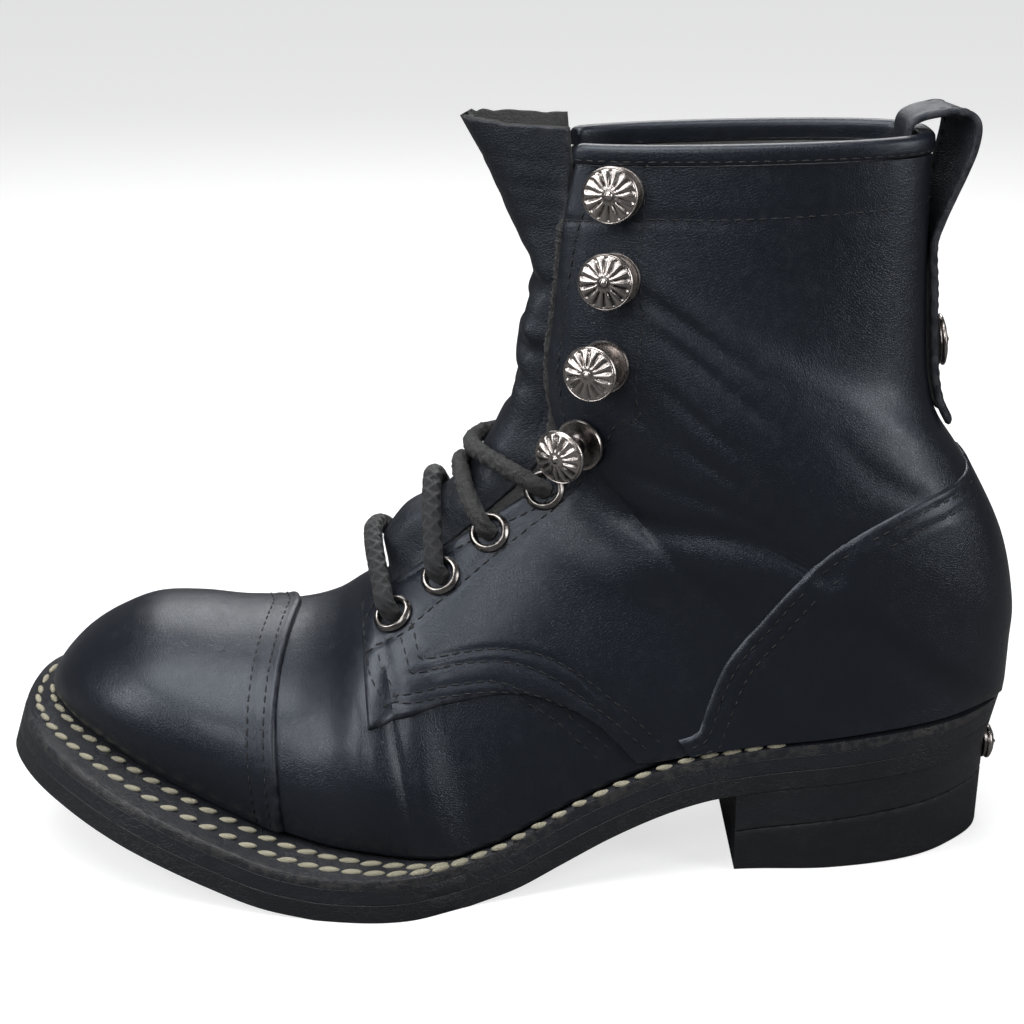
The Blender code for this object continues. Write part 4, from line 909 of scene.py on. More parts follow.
def makeTongue():
    shares = np.linspace(-1, 1, 57)
    vs = finely(tongueRise[0][0], lastRow, 0.08)
    grid = []
    for v in vs:
        tuck = min(max((rows["throat"] + 0.5 - v) / 0.4, 0.0), 1.0)
        rise = float(smooth(tongueRise, v)) * tongue["lace"]
        low = -tongue["depth"]
        table = ((0.0, rise), (0.45, rise * 0.86), (0.82, low * (0.4 + 0.6 * min(max(v - 13.5, 0), 1))),
                 (1.0, low))
        half = tongueHalf(v) * np.abs(shares)
        angles = np.where(shares < 0, throatAngle(v, -1, half), throatAngle(v, 1, half))
        out = smooth(table, np.abs(shares))
        for at, across, depth, along, wide in tongueBuckles:
            out = out - depth * np.exp(-((v - at) / along) ** 2 - ((shares - across) / wide) ** 2)
        out = out + [tongue["ripple"] * noise.noise(Vector((v * 1.3, s * 2.2, 0.0))) for s in shares]
        line = facePoints(v, angles, out * (1 - tuck) - (boot["wall"] + 4 * gap) * tuck)
        grid.append([point + leanOf(point[2], share) for point, share in zip(line, shares)])
    collar = [point - leanOf(point[2], share) for point, share in zip(grid[-1], shares)]
    spreads = ((0.0, 1.0), (0.35, 1.01), (0.68, 1.08), (1.0, 1.18))
    for rise in np.linspace(0, 1, 15)[1:]:
        spread = float(smooth(spreads, rise))
        line = []
        for foot, share in zip(collar, shares):
            ragged = tongue["ragged"] * noise.noise(Vector((share * 9, 3.1, 0.0))) * rise
            up = foot[2] + rise * tongue["over"] * (1.06 - 0.14 * abs(share)) + ragged
            line.append(np.array((foot[0] * spread, foot[1], up)) + leanOf(up, share))
        grid.append(line)
    grid = np.array(grid)
    count, width = grid.shape[:2]
    gaps = edgeGap(grid, ("left", "right", "top"))
    mesh = meshOf("tongue", grid.reshape(-1, 3), gridFaces(count, width), finish["softLeather"],
                  merge=0.0001, closed=False, rim=np.exp(-gaps.ravel() / 0.0009), sharp=None)
    mesh.materials.append(finish["suede"])
    item = addPiece("tongue_leather", mesh, "upper_leather", "tongue")
    solid = item.modifiers.new("Leather", "SOLIDIFY")
    solid.thickness, solid.offset = tongue["thick"], -1.0
    solid.material_offset = 1
    solid.material_offset_rim = 1
    return item


gusset = dict(width=0.0052, depth=0.0040, thick=0.0012, bulge=0.00456, fuzz=0.0009, lap=0.0012)


def makeGussets():
    parts = []
    vs = finely(10.9, 22.2, 0.08)
    shares = np.linspace(0, 1, 11)
    for side in (1, -1):
        grid, inner = [], []
        for v in vs:
            full = gusset["bulge"] * float(ease(v, 13.4, 15.2)) * (1 - float(ease(v, 20.2, 21.2)))
            fuzz = [gusset["fuzz"] * noise.noise(Vector((v * 9, s * 6, side * 4.0))) for s in shares]
            base = throatHalf(v) - gusset["width"]
            angles = throatAngle(v, side, base + (gusset["width"] + gusset["lap"]) * shares)
            line = -gusset["depth"] + full * np.sin(math.pi * shares) + fuzz
            grid.append(facePoints(v, angles, line))
            inner.append(facePoints(v, angles, line - gusset["thick"]))
        parts.append(sheetParts(np.array(grid), np.array(inner)))
    points, faces, marks = joined(parts)
    mesh = meshOf("gussets", points, faces, finish["suede"], rim=marks)
    return addPiece("gusset_suede", mesh, "suede", "gusset_lateral", "gusset_medial")


binding = dict(height=0.0054, roll=10)


def makeBinding():
    low, high, top = -boot["wall"] - gap, boot["overlay"] + 4 * gap, binding["height"]
    profile = [(low, 0.0), (low, 0.35 * top), (low, 0.62 * top)]
    for k in range(1, binding["roll"]):
        angle = math.pi * k / binding["roll"]
        profile.append(((low + high) / 2 - (high - low) / 2 * math.cos(angle),
                        top * (0.62 + 0.38 * math.sin(angle) ** 0.8)))
    profile += [(high, 0.62 * top), (high + 0.0001, 0.35 * top), (high, 0.06 * top), (high - 0.0003, 0.0)]
    first, last = (throatEdge(lastRow, side) for side in (1, -1))
    stations = np.concatenate((np.linspace(first, 1.0, 110), np.linspace(-1.0, last, 110)[1:]))
    points = []
    for k, a in enumerate(stations):
        place, out = facePoint(lastRow, a), outward(lastRow, a)
        out.z = 0
        out.normalize()
        end = min(k, len(stations) - 1 - k)
        shrink = 1.0 if end > 2 else (0.80, 0.92, 0.98)[end]
        for offset, rise in profile:
            middle = (low + high) / 2
            points.append(place + out * (middle + (offset - middle) * shrink)
                          + Vector((0, 0, rise * shrink + 2 * gap)))
    faces = tubeFaces(len(stations), len(profile))
    mesh = meshOf("collar_binding", points, faces, finish["upperLeather"], sharp=50)
    return addPiece("collar_roll", mesh, "upper_leather", "collar_binding")


strap = dict(width=0.019, thick=0.0022, backRows=(20.6, 20.9, 21.2, 21.6, 22.0))
loopTable = (
    (0.0968, 1.806, 0.04, 0.75), (0.0935, 1.863, 0.13, 0.60), (0.0885, 1.918, 0.27, 0.45),
    (0.0820, 1.972, 0.35, 0.20), (0.0760, 2.025, 0.40, 0.05), (0.0735, 2.072, 0.38, 0.00),
    (0.0775, 2.097, 0.30, 0.00), (0.0885, 2.107, 0.15, 0.00), (0.1037, 2.102, 0.04, 0.00),
    (0.1160, 2.092, 0.02, -0.30), (0.1235, 2.076, 0.00, -0.80), (0.1247, 2.050, 0.00, -1.00),
    (0.1250, 2.000, 0.00, -1.00), (0.1250, 1.935, 0.00, -1.00), (0.1250, 1.877, 0.00, -1.00))
middleSide = sections[-1, 8] * boot["ball"]


def backPath():
    path, out = [], boot["overlay"] + 5 * gap + strap["thick"] / 2
    for v in strap["backRows"]:
        before, after, place = edgePoint(v - 0.2, 1), edgePoint(v + 0.2, 1), edgePoint(v, 1)
        run = math.hypot(after[0] - before[0], after[2] - before[2])
        path.append((place[0] - out * (after[2] - before[2]) / run,
                     place[2] + out * (after[0] - before[0]) / run, 0.0, 0.75))
    path += [(a * boot["length"], height(u), twist, wrap) for a, u, twist, wrap in loopTable]
    return [(k, *place) for k, place in enumerate(path)]


strapPath = backPath()


def strapFrame(at):
    place = Vector((smooth(strapPath, at, 1), smooth(strapPath, at, 2)))
    ahead = Vector((smooth(strapPath, at + 0.1, 1), smooth(strapPath, at + 0.1, 2)))
    behind = Vector((smooth(strapPath, at - 0.1, 1), smooth(strapPath, at - 0.1, 2)))
    return place, (ahead - behind).normalized()


def backSag(v, side):
    front, edge, half, full, _ = section(v, 1)
    return (front[0] - edge[0]) / 2 * (1 - math.sqrt(1 - (side / half) ** (2 / full[1])))


def strapPoint(at, share):
    place, way = strapFrame(at)
    twist, wrap = float(smooth(strapPath, at, 3)), float(smooth(strapPath, at, 4))
    half = strap["width"] / 2
    v = round(min(strap["backRows"][0] + 0.39 * at, strap["backRows"][-1]), 3)
    sag = backSag(v, abs(share) * half) * wrap
    return world((place.x + way.y * sag - share * twist * half,
                  middleSide + share * half * math.sqrt(1 - twist * twist),
                  place.y - way.x * sag))


def makeLoop():
    shares = np.array((-1.0, -0.97, -0.92, *np.linspace(-0.8, 0.8, 15), 0.92, 0.97, 1.0))
    grid = np.array([[strapPoint(at, s) for s in shares]
                     for at in np.linspace(0.0, len(strapPath) - 1, 190)])
    up = np.gradient(grid, axis=0)
    across = np.gradient(grid, axis=1)
    out = unit(np.cross(across, up))
    gaps = edgeGap(grid, ("left", "right", "foot", "top"))
    half = strap["thick"] / 2 * (0.4 + 0.6 * np.sqrt(1 - (1 - np.clip(gaps / 0.0009, 0, 1)) ** 2))
    points, faces, marks = sheetParts(grid + out * half[..., None], grid - out * half[..., None],
                                      np.exp(-gaps / 0.0009))
    mesh = meshOf("pull_loop", points, faces, finish["softLeather"], rim=marks)
    return addPiece("pull_loop_leather", mesh, "upper_leather", "pull_loop")


makeTongue()
makeGussets()
bindingPiece = makeBinding()
loop = makeLoop()
print("tongue, gussets, binding and loop ready")


# Sole layers, welt and heel

def soleStations(count):
    return (1 - np.cos(math.pi * np.linspace(0, 1, count))) / 2


def soleLayer(name, low, high, material, slot, node):
    shares = soleStations(260)
    bevel = 0.00022
    profile = [(bevel, low), (0.0, low + bevel), (0.0, (low + high) / 2), (0.0, high - bevel), (bevel, high)]
    across = np.linspace(0, 1, 7)[1:-1]
    edges = {}
    for side in (1, -1):
        edges[side] = []
        for inset, rise in profile:
            at = inset / boot["length"] + shares * (1 - 2 * inset / boot["length"])
            value = insetOutline(at, side, lambda s, d, k=inset: k)
            edges[side].append(solePoint(at, value, rise))
    lateral, medial = edges[1], edges[-1]
    top = [lateral[-1] + (medial[-1] - lateral[-1]) * t for t in across]
    bottom = [medial[0] + (lateral[0] - medial[0]) * t for t in across]
    rings = world(np.stack(lateral + top + medial[::-1] + bottom, axis=1))
    mesh = meshOf(name, np.concatenate(rings), tubeFaces(*rings.shape[:2]), material, sharp=35)
    return addPiece(name, mesh, slot, node)


weltLap = 0.0016


def weltPoint(share, side, across, lift=0.0):
    at = heelShare + share * (reachShare - heelShare)
    shelf = stack + soleUnit["weltRise"] * margin(at, side)
    outerEdge = solePoint(share, outline(share, side), stack)
    innerEdge = feather(at, side, 0.0, shelf)
    return outerEdge + (innerEdge - outerEdge) * across + (0, 0, lift)


def makeWelt():
    bottom = stack - soleUnit["welt"]
    crossShares = (0.03, 0.10, 0.2, 0.3, 0.4, 0.5, 0.6, 0.7, 0.8, 0.9, 1.0)
    around = []
    for side, share in ((1, soleStations(420)), (-1, soleStations(420)[-2:0:-1])):
        at = heelShare + share * (reachShare - heelShare)
        shelf = stack + soleUnit["weltRise"] * margin(at, side)
        ring = [solePoint(share, outline(share, side), rise)
                for rise in (bottom, bottom + 0.0004, stack - 0.0006)]
        ring += [weltPoint(share, side, c) for c in crossShares]
        lap = weltLap / boot["length"]
        inner = heelShare + lap + share * (reachShare - heelShare - 2 * lap)
        ring += [feather(inner, side, weltLap, shelf - 0.0002),
                 feather(inner, side, weltLap, bottom + 5 * gap)]
        around.append(np.stack(ring, axis=1))
    rings = world(np.concatenate(around))
    rings = np.concatenate((rings, rings[:1]))
    count, width = rings.shape[:2]
    marks = np.tile([0.4, 1.0, 1.0, 1.0, 0.4] + [0.0] * (width - 5), count)
    mesh = meshOf("welt", np.concatenate(rings), ringFaces(count, width), finish["edgeLeather"],
                  rim=marks)
    return addPiece("welt_leather", mesh, "edge_leather", "welt")


heel = dict(length=0.0832, layer=0.0118, draw=0.0020, rake=0.0030)


def heelEdge(share, side, draw, start):
    at = (share - start / boot["length"]) / (1 - start / boot["length"])
    centre = 0.5 * (outline(at, 1) + outline(at, -1))
    half = 0.5 * (outline(at, 1) - outline(at, -1))
    return centre + (outline(at, side) - centre) * (1 - draw / max(half, heel["length"] / 4))


def liftTop(share):
    return underside(share) - heel["layer"] - gap


def heelBlock(name, lowLevel, highLevel, material, slot, node):
    breast = heel["length"] / boot["length"]
    levels = np.concatenate(((0.0, 0.02, 0.06), np.linspace(0.12, 0.88, 7), (0.94, 0.98, 1.0)))
    layers = []
    for t in levels:
        bevel = 0.0005 * (1 - math.sqrt(max(1 - (1 - min(t, 1 - t, 0.06) / 0.06) ** 2, 0.0)))
        draw = lowLevel[1] + (highLevel[1] - lowLevel[1]) * t + bevel
        start = lowLevel[2] + (highLevel[2] - lowLevel[2]) * t + bevel
        rake = lowLevel[3] + (highLevel[3] - lowLevel[3]) * t
        first, rowsHere = start / boot["length"], []
        span = (2 * breast - 2 * first) * (1 - np.cos(math.pi * np.arange(0, 61) / 120)) / 2
        for at in first + span:
            lateral, medial = heelEdge(at, 1, draw, start), heelEdge(at, -1, draw, start)
            lean = rake * (at / breast) ** 8 / 4
            j = np.linspace(0, 1, 9)
            level = lowLevel[0](at) + (highLevel[0](at) - lowLevel[0](at)) * t
            along = at * boot["length"] + lean * 4 * j - bevel * (at > 0.99 * breast)
            across = lateral + (medial - lateral) * j
            rowsHere.append(world(np.stack((along, across, np.full(9, level)), -1)))
        layers.append(np.array(rowsHere))
    count, width = layers[0].shape[:2]
    points = np.concatenate([layer.reshape(-1, 3) for layer in layers])
    size = count * width
    faces = gridFaces(count, width)
    top = (len(layers) - 1) * size
    faces += [tuple(top + k for k in reversed(f)) for f in gridFaces(count, width)]
    for n in range(len(layers) - 1):
        faces += [(n * size + a, n * size + b, (n + 1) * size + b, (n + 1) * size + a)
                  for a, b in borderPairs(count, width)]
    used = sorted({k for face in faces for k in face})
    renumber = {k: i for i, k in enumerate(used)}
    faces = [tuple(renumber[k] for k in face) for face in faces]
    t = levels[np.array(used) // size]
    mesh = meshOf(name, points[used], faces, material, rim=np.exp(-np.minimum(t, 1 - t) / 0.05))
    return addPiece(name, mesh, slot, node)


def makeSole():
    low = soleUnit["outsole"]
    soleLayer("outsole_rubber", 0.0, low + gap / 3, finish["rubber"], "rubber", "outsole")
    soleLayer("midsole_leather", low + gap / 3, low + 2 * gap + soleUnit["midsole"], finish["edgeLeather"],
              "edge_leather", "midsole")
    makeWelt()
    seam = (heel["draw"] * 0.6, soleUnit["seatLean"] + heel["draw"] * 0.5, heel["rake"] / 2)
    heelBlock("heel_rubber", (lambda s: 0.0, heel["draw"], soleUnit["seatLean"] + heel["draw"] * 0.85, 0.0),
              (liftTop, *seam), finish["rubber"], "rubber", "heel_lift")
    heelBlock("heel_stack", (lambda s: liftTop(s) + gap / 3, *seam),
              (underside, heel["draw"] * 0.2, soleUnit["seatLean"] + heel["draw"] * 0.25,
               heel["rake"]), finish["edgeLeather"], "edge_leather", "heel_base")


makeSole()
print("sole and heel ready")


# Stitching: lines on the panels, stitches set along them by Geometry Nodes

def panelTree():
    points, faces, start = [], [], 0
    graph = bpy.context.evaluated_depsgraph_get()
    for item in (wall, toeCap, quarters[1], quarters[-1], counter, bindingPiece, loop):
        mesh = item.evaluated_get(graph).to_mesh()
        points += [v.co.copy() for v in mesh.vertices]
        faces += [[start + k for k in p.vertices] for p in mesh.polygons]
        start += len(mesh.vertices)
    return BVHTree.FromPolygons(points, faces)


def panelPath(table, side):
    rowsHere = [(k, *p) for k, p in enumerate(table)]
    at = np.linspace(0, len(table) - 1, 30 * len(table))
    return facePoints(smooth(rowsHere, at, 1), side * smooth(rowsHere, at, 2), seamLift["quarter"])


def shifted(line, outs, distance):
    way = np.gradient(line, axis=0)
    across = np.cross(outs, way)
    across /= np.maximum(np.linalg.norm(across, axis=1), 1e-9)[:, None]
    return line + across * distance


def edgeAndOut(v, a, lift):
    edge = facePoints(v, a, lift)
    return edge, unit(facePoints(v, a, lift + 0.001) - edge)


def laid(tree, line):
    found = [tree.find_nearest(Vector(p))[:2] for p in line]
    return np.array([spot for spot, _ in found]), np.array([out for _, out in found])


quarterLines = dict(  # (section, share) along each row of stitches
    front=((10.29, 0.234), (10.05, 0.262), (10.07, 0.31), (10.10, 0.372), (10.13, 0.434),
           (10.21, 0.488), (10.29, 0.541)),
    boxFoot=((10.32, 0.414), (10.38, 0.480), (10.47, 0.546)),
    boxTop=((10.16, 0.363), (10.59, 0.395), (10.92, 0.41)),
    eyestay=((23.0, 0.321), (21.6, 0.314), (20.2, 0.300), (18.93, 0.29), (17.7, 0.283), (16.8, 0.287),
             (16.0, 0.315), (15.23, 0.36), (14.4, 0.40), (13.6, 0.413), (12.9, 0.410),
             (12.03, 0.409), (11.5, 0.406), (10.94, 0.405)),
    upperArch=((10.94, 0.405), (10.96, 0.45), (10.98, 0.5), (11.54, 0.553), (11.91, 0.594),
               (12.14, 0.627), (12.44, 0.685), (12.66, 0.76), (12.84, 0.86), (12.95, 0.95)),
    secondArch=((10.73, 0.42), (10.76, 0.47), (10.81, 0.518), (11.46, 0.572), (11.85, 0.616),
                (12.09, 0.652), (12.34, 0.71), (12.55, 0.79), (12.72, 0.88), (12.82, 0.95)),
    thirdArch=((10.47, 0.546), (10.79, 0.567), (11.23, 0.600), (11.59, 0.632), (11.89, 0.672),
               (12.15, 0.740), (12.38, 0.82), (12.56, 0.92)),
    lowEdge=((10.29, 0.545), (10.59, 0.575), (11.17, 0.620), (11.56, 0.655), (11.83, 0.692),
             (12.07, 0.745), (12.27, 0.82), (12.44, 0.93)),
    shaftRow=((20.85, 0.13), (21.47, 0.225), (21.98, 0.326), (22.26, 0.437), (22.45, 0.555),
              (22.58, 0.693), (22.66, 0.857), (22.69, 0.985)),
)
seamLift = dict(quarter=0.0022, counter=0.0024, cap=0.0017, collar=0.0030)  # above the wall, before laying
upperThread = dict(pitch=0.0034, length=0.0025, thick=0.00058, seed=4, sunk=0.00022)
seamGaps = dict(facing=0.0036, foot=0.0026, counter=(0.0036, 0.0078), cap=(0.0034, 0.0082))
weltThread = dict(pitch=0.0064, length=0.0064, thick=0.0019, seed=9,
                  rowsAcross=(0.36, 0.74), merge=(0.50, 0.62), start=0.235, medialStart=0.40, skew=0.16)
strapThread = dict(pitch=0.0032, length=0.0023, thick=0.00055, inset=0.0023)


def stitchTree():
    tree = bpy.data.node_groups.new("stitches along lines", "GeometryNodeTree")
    face = tree.interface
    face.new_socket("Geometry", in_out="INPUT", socket_type="NodeSocketGeometry")
    face.new_socket("Geometry", in_out="OUTPUT", socket_type="NodeSocketGeometry")
    for name in ("Pitch", "Length", "Thick", "Skew"):
        face.new_socket(name, in_out="INPUT", socket_type="NodeSocketFloat")
    face.new_socket("Seed", in_out="INPUT", socket_type="NodeSocketInt")
    face.new_socket("Thread", in_out="INPUT", socket_type="NodeSocketMaterial")
    given = wire(tree, "GroupInput", family="Node").outputs

    def geometry(kind, values=None, **settings):
        return wire(tree, kind, values, family="GeometryNode", **settings)

    def function(kind, values=None, **settings):
        return wire(tree, kind, values, family="FunctionNode", **settings)

    curve = geometry("MeshToCurve", {0: given["Geometry"]})
    even = geometry("ResampleCurve", mode="LENGTH")
    tree.links.new(curve.outputs[0], even.inputs["Curve"])
    tree.links.new(given["Pitch"], even.inputs["Length"])
    out = geometry("InputNamedAttribute", {"Name": "out"}, data_type="FLOAT_VECTOR")
    rise = function("AlignRotationToVector", {"Vector": out.outputs["Attribute"]}, axis="Z")
    turn = function("AlignRotationToVector", {"Rotation": rise.outputs[0],
                                              "Vector": geometry("InputTangent").outputs[0]},
                    axis="X", pivot_axis="Z")
    wobble = function("RandomValue", {"Seed": given["Seed"], 0: (-0.04, -0.06, -0.08),
                                      1: (0.04, 0.06, 0.08)}, data_type="FLOAT_VECTOR")
    skew = wire(tree, "CombineXYZ", {"Z": given["Skew"]})
    bend = wire(tree, "VectorMath", {0: wobble.outputs[0], 1: skew.outputs[0]})
    twist = function("RotateRotation", {"Rotation": turn.outputs[0], "Rotate By": bend.outputs[0]},
                     rotation_space="LOCAL")
    ball = geometry("MeshUVSphere", {"Segments": 8, "Rings": 6, "Radius": 0.5})
    size = wire(tree, "CombineXYZ", {"X": given["Length"], "Y": given["Thick"], "Z": given["Thick"]})
    grown = geometry("Transform", {"Geometry": ball.outputs["Mesh"], "Scale": size.outputs[0]})
    placed = geometry("InstanceOnPoints", {"Points": even.outputs[0], "Instance": grown.outputs[0],
                                           "Rotation": twist.outputs[0]})
    real = geometry("RealizeInstances", {0: placed.outputs[0]})
    smoothed = geometry("SetShadeSmooth", {"Geometry": real.outputs[0]})
    dyed = geometry("SetMaterial", {"Geometry": smoothed.outputs[0], "Material": given["Thread"]})
    wire(tree, "GroupOutput", {"Geometry": dyed.outputs[0]}, family="Node")
    return tree


def applied(item):
    graph = bpy.context.evaluated_depsgraph_get()
    mesh = bpy.data.meshes.new_from_object(item.evaluated_get(graph), depsgraph=graph)
    old = item.data
    item.modifiers.clear()
    item.data = mesh
    mesh.name = item.name
    bpy.data.meshes.remove(old)
    return item


stitcher = stitchTree()


def stitched(name, lines, look, thread, skew=0.0):
    points, outs, edges, start = [], [], [], 0
    for line, out in lines:
        points.append(line)
        outs.append(out)
        edges += [(start + k, start + k + 1) for k in range(len(line) - 1)]
        start += len(line)
    mesh = bpy.data.meshes.new(name)
    mesh.from_pydata(np.concatenate(points).tolist(), edges, [])
    mark = mesh.attributes.new("out", "FLOAT_VECTOR", "POINT")
    mark.data.foreach_set("vector", np.concatenate(outs).ravel())
    item = bpy.data.objects.new(name, mesh)
    bpy.context.scene.collection.objects.link(item)
    sewn = item.modifiers.new("Stitches", "NODES")
    sewn.node_group = stitcher
    values = {"Pitch": look["pitch"], "Length": look["length"], "Thick": look["thick"],
              "Skew": skew, "Seed": look.get("seed", 1), "Thread": finish[thread]}
    for socket in stitcher.interface.items_tree:
        if socket.in_out == "INPUT" and socket.name in values:
            sewn[socket.identifier] = values[socket.name]
    applied(item)
    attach(item, "root")
    return item


def sinkSeams(items, lines, depth=0.0003, width=0.0011):
    tree = KDTree(sum(len(line) for line, _ in lines))
    k = 0
    for line, _ in lines:
        for p in line:
            tree.insert(Vector(p), k)
            k += 1
    tree.balance()
    for item in items:
        mesh = item.data
        for vertex in mesh.vertices:
            away = tree.find(vertex.co)[2]
            if away < 3 * width:
                vertex.co -= vertex.normal * depth * math.exp(-(away / width) ** 2)


def sewUpper():
    tree = panelTree()
    rough = []
    for side in (1, -1):
        for table in quarterLines.values():
            rough.append(panelPath(table, side))
        for low, high, row in ((13.9, 22.95, "facing"), (10.3, 13.9, "foot")):
            vs = np.arange(low, high, 0.1)
            angles = [throatAngle(round(v, 3), side, throatHalf(v) + seamGaps[row]) for v in vs]
            rough.append(facePoints(vs, np.array(angles), seamLift["quarter"]))
        vs = np.concatenate((np.arange(13.2, 19.8, 0.08), (19.85,)))
        starts = np.array([counterStart(round(float(v), 4), side) for v in vs])
        edge, out = edgeAndOut(vs, side * starts, seamLift["counter"])
        for distance in seamGaps["counter"]:
            rough.append(shifted(edge, out, -side * distance))
    angles = np.linspace(0.955, -0.955, 160)
    edge, out = edgeAndOut(bowed(rows["cap"], angles), angles, seamLift["cap"])
    for distance in seamGaps["cap"]:
        moved = shifted(edge, out, distance)
        if moved[80, 1] > edge[80, 1]:
            moved = shifted(edge, out, -distance)
        rough.append(moved)
    lines = [laid(tree, line) for line in rough]
    sinkSeams((wall, toeCap, quarters[1], quarters[-1], counter), lines)
    sunk = [(line - out * upperThread["sunk"], out) for line, out in lines]
    stitched("upper_stitching", sunk, upperThread, "blackThread")
    roll = []
    first, last = (throatEdge(lastRow, side) for side in (1, -1))
    for span in (np.linspace(first + 0.02, 0.99, 150), np.linspace(-0.99, last - 0.02, 150)):
        line = facePoints(lastRow, span, seamLift["collar"]) + (0, 0, 0.0012)
        roll.append(laid(tree, line))
    stitched("collar_stitching", roll, upperThread, "blackThread")
    sides = []
    share = 1 - strapThread["inset"] / (strap["width"] / 2)
    for way in (share, -share):
        at = np.linspace(0.3, 12.6, 200)
        line = np.array([strapPoint(t, way) for t in at])
        near = np.array([strapPoint(t, way * 0.9) for t in at])
        out = unit(np.cross(near - line, np.gradient(line, axis=0)) * (1 if way > 0 else -1))
        for face in (1, -1):
            sides.append((line + out * face * (strap["thick"] / 2 - 0.0001), out * face))
    stitched("strap_stitching", sides, strapThread, "blackThread")


def sewWelt():
    outer, inner = weltThread["rowsAcross"]
    low, high = weltThread["merge"]
    lines = []
    middle = 0.5 * (outer + inner)
    around = np.concatenate((np.linspace(low, 0.93, 220), np.linspace(0.93, 1, 120)))
    merge = ease(around, low, high)
    for row in (outer, inner):
        across = middle * (1 - merge) + row * merge
        lateral = [weltPoint(s, 1, m) for s, m in zip(around, across)]
        medial = [weltPoint(s, -1, m) for s, m in zip(around, across)][::-1]
        lines.append(np.array(lateral + medial[1:]))
    for side, start in ((1, weltThread["start"]), (-1, weltThread["medialStart"])):
        lines.append(np.array([weltPoint(s, side, middle) for s in np.linspace(start, low, 120)]))
    upright = [(world(line), np.tile((0.0, 0.0, 1.0), (len(line), 1))) for line in lines]
    stitched("welt_stitching", upright, weltThread, "creamThread", skew=weltThread["skew"])


sewUpper()
sewWelt()
print("stitching ready")


# Fittings: eyelets, lace studs, ornaments and braided laces

eyelets = dict(spots=((0.6045, 0.990), (0.5595, 1.079), (0.5135, 1.176), (0.462, 1.275)),
               outer=0.0120, hole=0.0077, rim=0.0013, steps=48)
studs = dict(spots=((0.4257, 1.391), (0.4063, 1.572), (0.3987, 1.763), (0.3963, 1.945)),
             lifts=(5 * gap, 2.5 * gap, 2.5 * gap, 3.5 * gap), head=0.0156, base=0.0150, post=0.0052,
             reach=0.0105, crown=0.0035, flutes=14, steps=112)
ornaments = dict(back=0.015, backRise=0.0032, heel=0.0105, heelRise=0.0042, step=2.8)
laceBars = dict(lace=0.0053, crests=((10.74, 1.56), (11.95, 1.28), (12.39, 0.70), (12.76, 0.96)),
                strands=8, lay=0.0095, swell=0.17, facet=0.00042, steps=32, fuzz=0.00050, wornFrom=2)


def standing(place, out):
    return np.array(Matrix.Translation(place) @ out.to_track_quat("Z", "Y").to_matrix().to_4x4())


def turnedParts(profile, steps, matrix, flute=None, ring=False):
    angle = 2 * math.pi * np.arange(steps) / steps
    points, marks = [], []
    for r, h, rim in profile:
        cut = flute(angle, r) if flute else np.zeros((2, steps))
        high = h + cut[0] * rim[1]
        points.append(np.stack((r * np.cos(angle), r * np.sin(angle), high, np.ones(steps)), -1))
        marks.append(np.clip(rim[0] + cut[1] * rim[1], 0, 1))
    faces, end = ringFaces(len(profile), steps), (len(profile) - 1) * steps
    if ring:
        faces += [(end + j, end + (j + 1) % steps, (j + 1) % steps, j) for j in range(steps)]
    points = np.concatenate(points) @ matrix.T
    return points[:, :3], faces, np.concatenate(marks)


def fittedRows(label, spots, lifts, makePart):
    parts, names = [], []
    for side, word in ((1, "lateral"), (-1, "medial")):
        for k, ((a, u), lift) in enumerate(zip(spots, lifts)):
            v, s = mirrored(locate(a, u), side)
            parts.append(makePart(standing(facePoint(v, s, boot["overlay"] + lift), outward(v, s))))
            names.append(f"{label}_{word}_{k + 1}")
    return joined(parts), names


def makeEyelets():
    hole, rim = eyelets["hole"] / 2, eyelets["outer"] / 2
    tall, depth = eyelets["rim"], boot["overlay"] + boot["wall"] + gap
    profile = [(hole, -depth, (0, 0)), (hole, -0.0004, (0.2, 0)), (hole + 0.00012, tall * 0.45, (1, 0)),
               (hole + 0.0004, tall * 0.85, (1, 0)), (hole + 0.0008, tall, (0.9, 0)),
               (hole + 0.0012, tall * 0.94, (0.4, 0)), (rim - 0.0006, tall * 0.62, (0.1, 0)),
               (rim - 0.00015, tall * 0.32, (0.3, 0)), (rim, tall * 0.08, (0.2, 0)),
               (rim, -0.0003, (0, 0)), (hole + 0.0003, -0.0003, (0, 0)), (hole + 0.0003, -depth, (0, 0))]
    (points, faces, marks), names = fittedRows(
        "eyelet", eyelets["spots"], (3 * gap,) * 4,
        lambda matrix: turnedParts(profile, eyelets["steps"], matrix, ring=True))
    mesh = meshOf("eyelets", points, faces, finish["nickel"], rim=marks, sharp=50)
    addPiece("eyelet_set", mesh, "dark_nickel", *names)


def petals(count, radius):
    def cut(angle, r):
        share = r / radius
        wave = 0.5 + 0.5 * np.cos(count * angle)
        zone = float(ease(share, 0.24, 0.40)) * (1 - float(ease(share, 0.80, 0.92)))
        groove = (1 - wave ** 0.6) * zone
        return -0.00055 * groove, 0.95 * groove

    return cut


